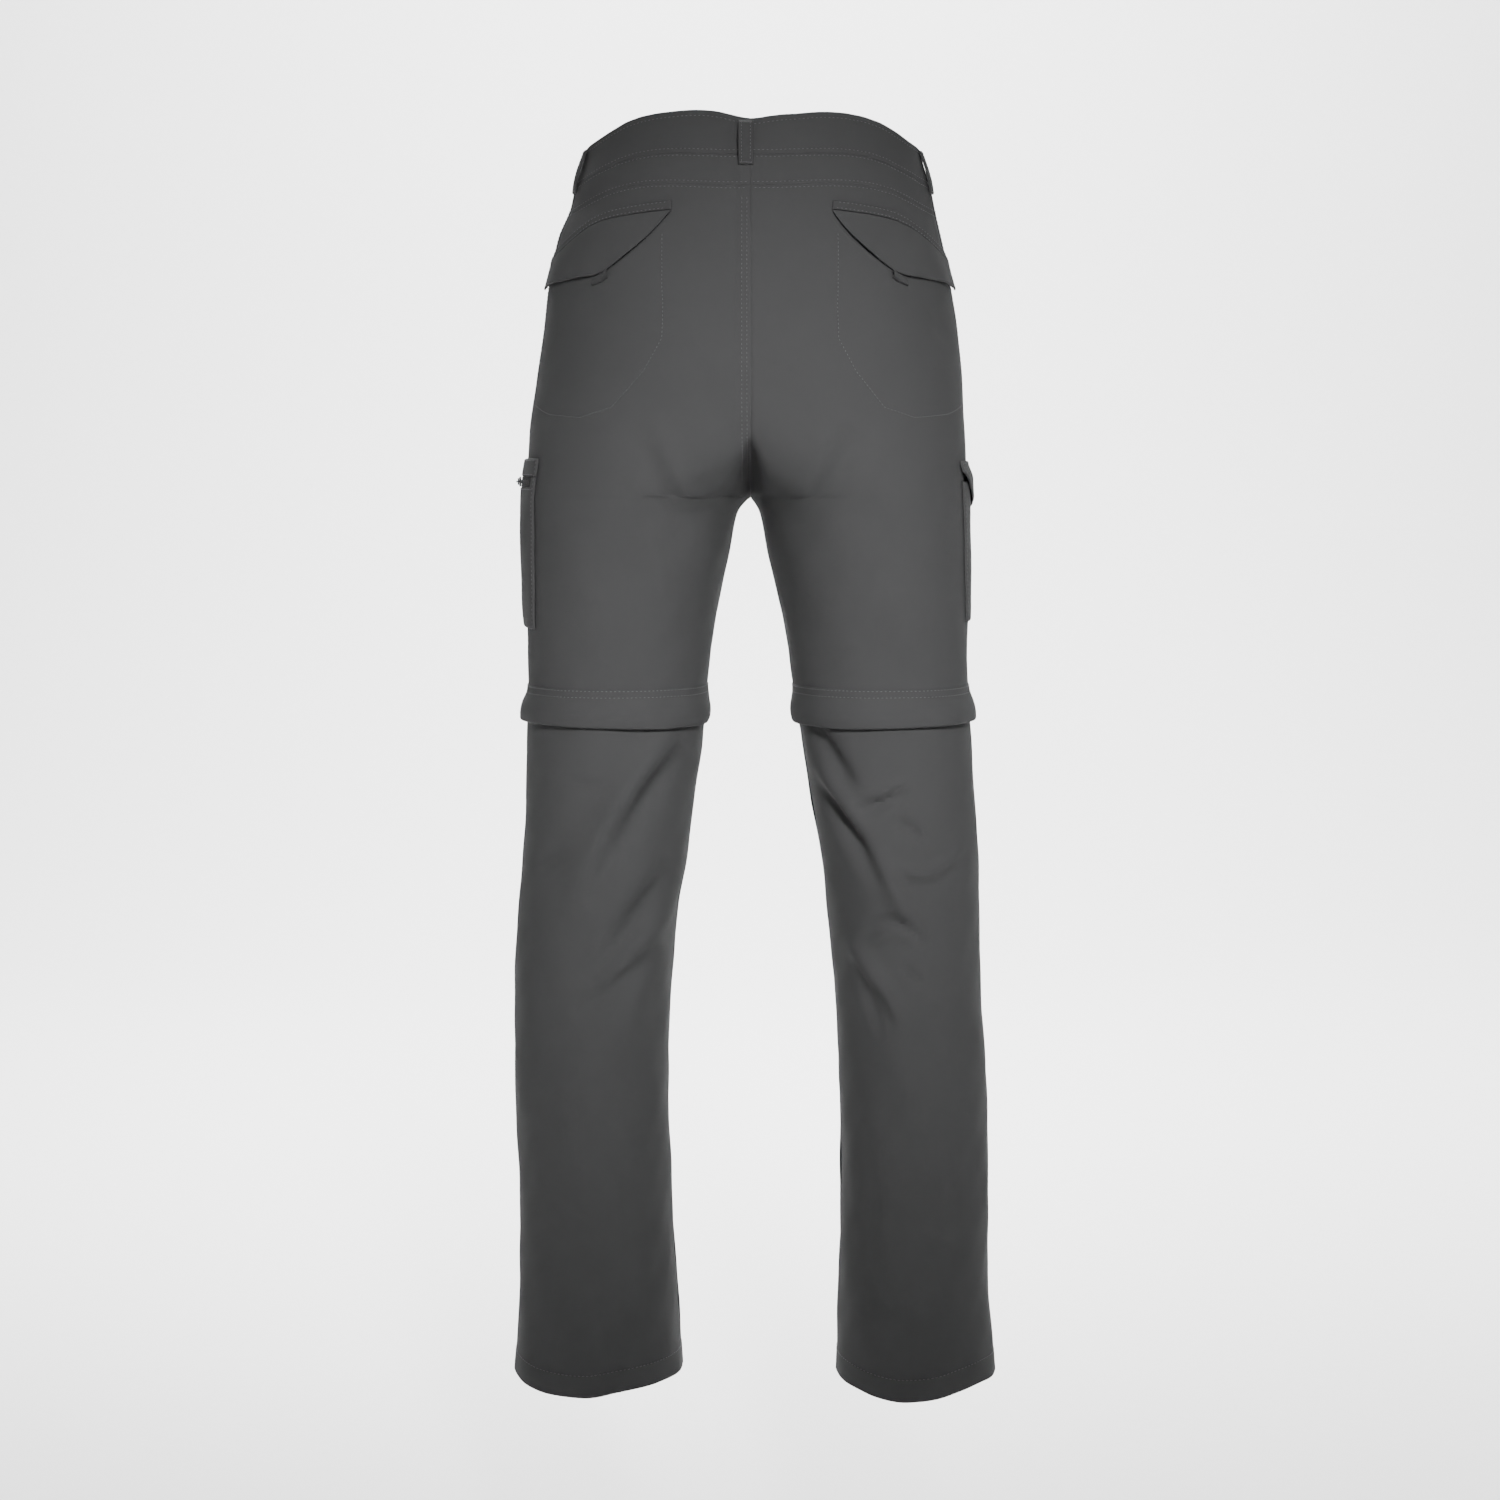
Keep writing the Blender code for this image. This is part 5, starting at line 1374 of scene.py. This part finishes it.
def turn_of(side, face, x, z):
    """Angle on the back or front where the cloth is x from the centre line."""
    middle, half = section(side, z)
    share = np.clip((x - middle) / half, -1, 1)
    return face * np.arccos(np.sign(share) * np.abs(share) ** (SQUARENESS / 2))


def add_button():
    """Four-hole button turned from a disc, with a raised rim."""
    angle = np.array(-math.pi / 2 + BUTTON_PLACE / WAIST_REACH)
    height = (edge(RIM, angle) + edge(BAND_FOOT, angle)) / 2
    _, normal = skin(1, angle, height, 0.0, seams=False)
    low, high = (np.array(corner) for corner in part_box("waist_button"))
    centre = (low + high) / 2
    lean = math.atan2(-normal[2], math.hypot(normal[0], normal[1]))
    turn = math.atan2(normal[0], -normal[1])
    bpy.ops.object.select_all(action="DESELECT")
    bpy.ops.mesh.primitive_cylinder_add(vertices=64, radius=BUTTON_RADIUS, depth=BUTTON_HEIGHT,
                                        location=(0, 0, 0))
    button = bpy.context.object
    button.name = "button_disc"
    bpy.ops.object.mode_set(mode="EDIT")
    shape = bmesh.from_edit_mesh(button.data)
    for face in shape.faces:
        face.select = face.normal.z > 0.9
    bmesh.update_edit_mesh(button.data)
    bpy.ops.mesh.inset(thickness=0.0016, depth=0.0)
    bpy.ops.mesh.inset(thickness=0.0008, depth=-0.0009)
    bpy.ops.mesh.inset(thickness=0.0022, depth=0.0)
    bpy.ops.object.mode_set(mode="OBJECT")
    for place in ((1, 1), (1, -1), (-1, 1), (-1, -1)):
        bpy.ops.mesh.primitive_cylinder_add(vertices=20, radius=0.00085, depth=0.01,
                                            location=(place[0] * 0.0016, place[1] * 0.0016, 0.0))
        cutter = bpy.context.object
        hole = button.modifiers.new("hole", "BOOLEAN")
        hole.operation, hole.object = "DIFFERENCE", cutter
        bpy.context.view_layer.objects.active = button
        bpy.ops.object.modifier_apply(modifier="hole")
        bpy.data.objects.remove(cutter, do_unlink=True)
    rounded = button.modifiers.new("rounded", "BEVEL")
    rounded.width, rounded.segments, rounded.limit_method = 0.0004, 3, "ANGLE"
    bpy.ops.object.select_all(action="DESELECT")
    button.select_set(True)
    bpy.context.view_layer.objects.active = button
    bpy.ops.object.modifier_apply(modifier="rounded")
    bpy.ops.object.shade_smooth_by_angle(angle=math.radians(35))
    button.rotation_euler = (math.pi / 2 + lean, 0.0, turn)
    button.location = tuple(centre)
    bpy.ops.object.transform_apply(location=True, rotation=True, scale=True)
    button.data.materials.clear()
    button.data.materials.append(finish("button"))
    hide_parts("waist_button")
    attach(button, BODY)


def add_stage():
    """Pale floor that curves up behind, soft lights and the camera."""
    looks = bpy.context.scene.trousers_looks
    depth, rise, bend = 5.0, 5.0, 1.6
    profile = [(4.0, 0.0), (-depth + bend, 0.0)]
    for turn in np.linspace(0, math.pi / 2, 13)[1:]:
        profile.append((-depth + bend - bend * math.sin(turn), bend - bend * math.cos(turn)))
    profile.append((-depth, rise))
    floor_z = CAD_BOX[0][2] - FLOOR_DROP
    points, faces = [], []
    for k, (y, z) in enumerate(profile):
        points += [(-6.0, y, floor_z + z), (6.0, y, floor_z + z)]
        if k:
            faces.append((2 * k - 2, 2 * k - 1, 2 * k + 1, 2 * k))
    mesh = bpy.data.meshes.new("floor")
    mesh.from_pydata(points, [], faces)
    mesh.shade_smooth()
    floor = bpy.data.objects.new("floor", mesh)
    bpy.context.scene.collection.objects.link(floor)
    paper = Finish("pale_paper", 0.9, specular=0.1)
    grain = paper.node("ShaderNodeTexNoise", Vector=paper.node("ShaderNodeTexCoord", output=3), Scale=60.0)
    paper.feed("Base Color", paper.blend(grain, (0.93, 0.93, 0.93), (0.96, 0.96, 0.96)))
    mesh.materials.append(paper.material)
    world = bpy.data.worlds.new("studio")
    world.use_nodes = True
    world.node_tree.nodes["Background"].inputs["Color"].default_value = (1.0, 1.0, 1.0, 1.0)
    world.node_tree.nodes["Background"].inputs["Strength"].default_value = looks.ambient
    bpy.context.scene.world = world
    for name, kind, place, aim, size, source, share, spread in LAMPS:
        lamp = bpy.data.lights.new(name, kind)
        lamp.energy = getattr(looks, source) * share
        if kind == "SPOT":
            lamp.shadow_soft_size, lamp.spot_size, lamp.spot_blend = size, math.radians(spread), 1.0
        else:
            lamp.shape, lamp.size, lamp.spread = "DISK", size, math.radians(spread)
        light = bpy.data.objects.new(name, lamp)
        light.location = place
        light.rotation_euler = (Vector(aim) - Vector(place)).to_track_quat("-Z", "Y").to_euler()
        bpy.context.scene.collection.objects.link(light)
    lens = bpy.data.cameras.new("camera")
    lens.lens, lens.sensor_width = CAMERA_LENS, 36.0
    lens.clip_end = 50.0
    camera = bpy.data.objects.new("camera", lens)
    camera.location = CAMERA_PLACE
    camera.rotation_euler = (math.radians(90 - CAMERA_PITCH), 0.0, math.pi)
    bpy.context.scene.collection.objects.link(camera)
    bpy.context.scene.camera = camera


def finish_hardware():
    """The zip's slider and pull keep their solids and get softened edges and black enamel."""
    for node in ("cargo_zip_slider", "cargo_zip_pull"):
        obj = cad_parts[node]
        obj.data.materials.clear()
        obj.data.materials.append(finish("metal"))
        welded = obj.modifiers.new("welded", "WELD")
        welded.merge_threshold = 0.00001
        softened = obj.modifiers.new("softened", "BEVEL")
        softened.width, softened.segments = 0.00018, 2
        softened.limit_method, softened.angle_limit = "ANGLE", math.radians(40)


class TrousersLooks(bpy.types.PropertyGroup):
    """Colours, thread and light that a user would change."""

    cloth_colour: FloatVectorProperty(name="Cloth colour", description="Colour of the nylon", subtype="COLOR",
                                      size=3, min=0, max=1, default=(0.055, 0.055, 0.056))
    # The thread's default is lighter than the cloth: the thread's charcoal plus a painted highlight of the
    # raised stitches
    thread_colour_and_highlight: FloatVectorProperty(name="Thread colour", description="Colour of the stitches",
                                       subtype="COLOR", size=3, min=0, max=1, default=(0.094, 0.094, 0.096))
    tape_colour: FloatVectorProperty(name="Zip tape colour", description="Colour of the zip tape and coil",
                                     subtype="COLOR", size=3, min=0, max=1, default=(0.014, 0.014, 0.0145))
    metal_colour: FloatVectorProperty(name="Slider colour", description="Colour of the slider and its pull",
                                      subtype="COLOR", size=3, min=0, max=1, default=(0.008, 0.008, 0.0085))
    button_colour: FloatVectorProperty(name="Button colour", description="Colour of the waist button",
                                       subtype="COLOR", size=3, min=0, max=1, default=(0.014, 0.014, 0.0145))
    thread_pitch: FloatProperty(name="Thread pitch", description="Distance between neighbouring threads",
                                unit="LENGTH", min=0.0002, max=0.005, default=0.0006)
    key_power: FloatProperty(name="Key light", description="Power of the main light", unit="POWER",
                             min=0, max=5000, default=450.0)
    backdrop_power: FloatProperty(name="Backdrop light", description="Power of the light on the backdrop",
                                  unit="POWER", min=0, max=2000, default=620.0)
    ambient: FloatProperty(name="Ambient light", description="Strength of the white surroundings",
                           min=0, max=5, default=0.08)


class TROUSERS_OT_stage(bpy.types.Operator):
    """Add the floor, the lights and the camera"""

    bl_idname = "trousers.stage"
    bl_label = "Stage"

    def execute(self, context):
        add_stage()
        return {"FINISHED"}


class TROUSERS_OT_panels(bpy.types.Operator):
    """Add the front, back and calf panels and the pocket facings"""

    bl_idname = "trousers.panels"
    bl_label = "Panels"

    def execute(self, context):
        for side in (1, -1):
            add_back_panel(side)
            add_front_panel(side)
            add_hand_pocket(side)
            add_calf_panel(side, 1)
            add_calf_panel(side, -1)
            add_front_sewing(side)
        return {"FINISHED"}


class TROUSERS_OT_waist(bpy.types.Operator):
    """Add the waistband, the yokes, the belt loops and the button"""

    bl_idname = "trousers.waist"
    bl_label = "Waist"

    def execute(self, context):
        add_waistband()
        for side in (1, -1):
            add_yoke(side)
        for row in LOOPS:
            add_belt_loop(*row)
        add_button()
        return {"FINISHED"}


class TROUSERS_OT_pockets(bpy.types.Operator):
    """Add the back pockets and the two thigh pockets"""

    bl_idname = "trousers.pockets"
    bl_label = "Pockets"

    def execute(self, context):
        for side in (1, -1):
            add_back_pocket(side)
        add_zip_pocket()
        add_flap_pocket()
        finish_hardware()
        return {"FINISHED"}


class TROUSERS_OT_knees(bpy.types.Operator):
    """Add the storm flaps and the zips under them"""

    bl_idname = "trousers.knees"
    bl_label = "Knees"

    def execute(self, context):
        for side in (1, -1):
            add_knee(side)
        return {"FINISHED"}


class TROUSERS_OT_threads(bpy.types.Operator):
    """Add every stitch that the pieces asked for"""

    bl_idname = "trousers.threads"
    bl_label = "Threads"

    def execute(self, context):
        for word in ("left", "right"):
            add_threads(word)
        return {"FINISHED"}


class TROUSERS_PT_panel(bpy.types.Panel):
    """Sidebar list of the steps and the looks"""

    bl_idname = "TROUSERS_PT_panel"
    bl_label = "Zip-off Trousers"
    bl_space_type = "VIEW_3D"
    bl_region_type = "UI"
    bl_category = "Trousers"

    def draw(self, context):
        for step in STEPS:
            self.layout.operator(step.bl_idname)
        looks = context.scene.trousers_looks
        for name in looks.bl_rna.properties.keys():
            if name not in ("rna_type", "name"):
                self.layout.prop(looks, name)


STEPS = (TROUSERS_OT_stage, TROUSERS_OT_panels, TROUSERS_OT_waist, TROUSERS_OT_pockets, TROUSERS_OT_knees,
         TROUSERS_OT_threads)


def register():
    for cls in (TrousersLooks, *STEPS, TROUSERS_PT_panel):
        bpy.utils.register_class(cls)
    bpy.types.Scene.trousers_looks = PointerProperty(type=TrousersLooks)


def unregister():
    del bpy.types.Scene.trousers_looks
    for cls in (TROUSERS_PT_panel, *STEPS[::-1], TrousersLooks):
        bpy.utils.unregister_class(cls)


def main():
    register()
    bpy.ops.trousers.stage()
    bpy.ops.trousers.panels()
    bpy.ops.trousers.waist()
    bpy.ops.trousers.pockets()
    bpy.ops.trousers.knees()
    bpy.ops.trousers.threads()


if __name__ == "__main__":
    main()
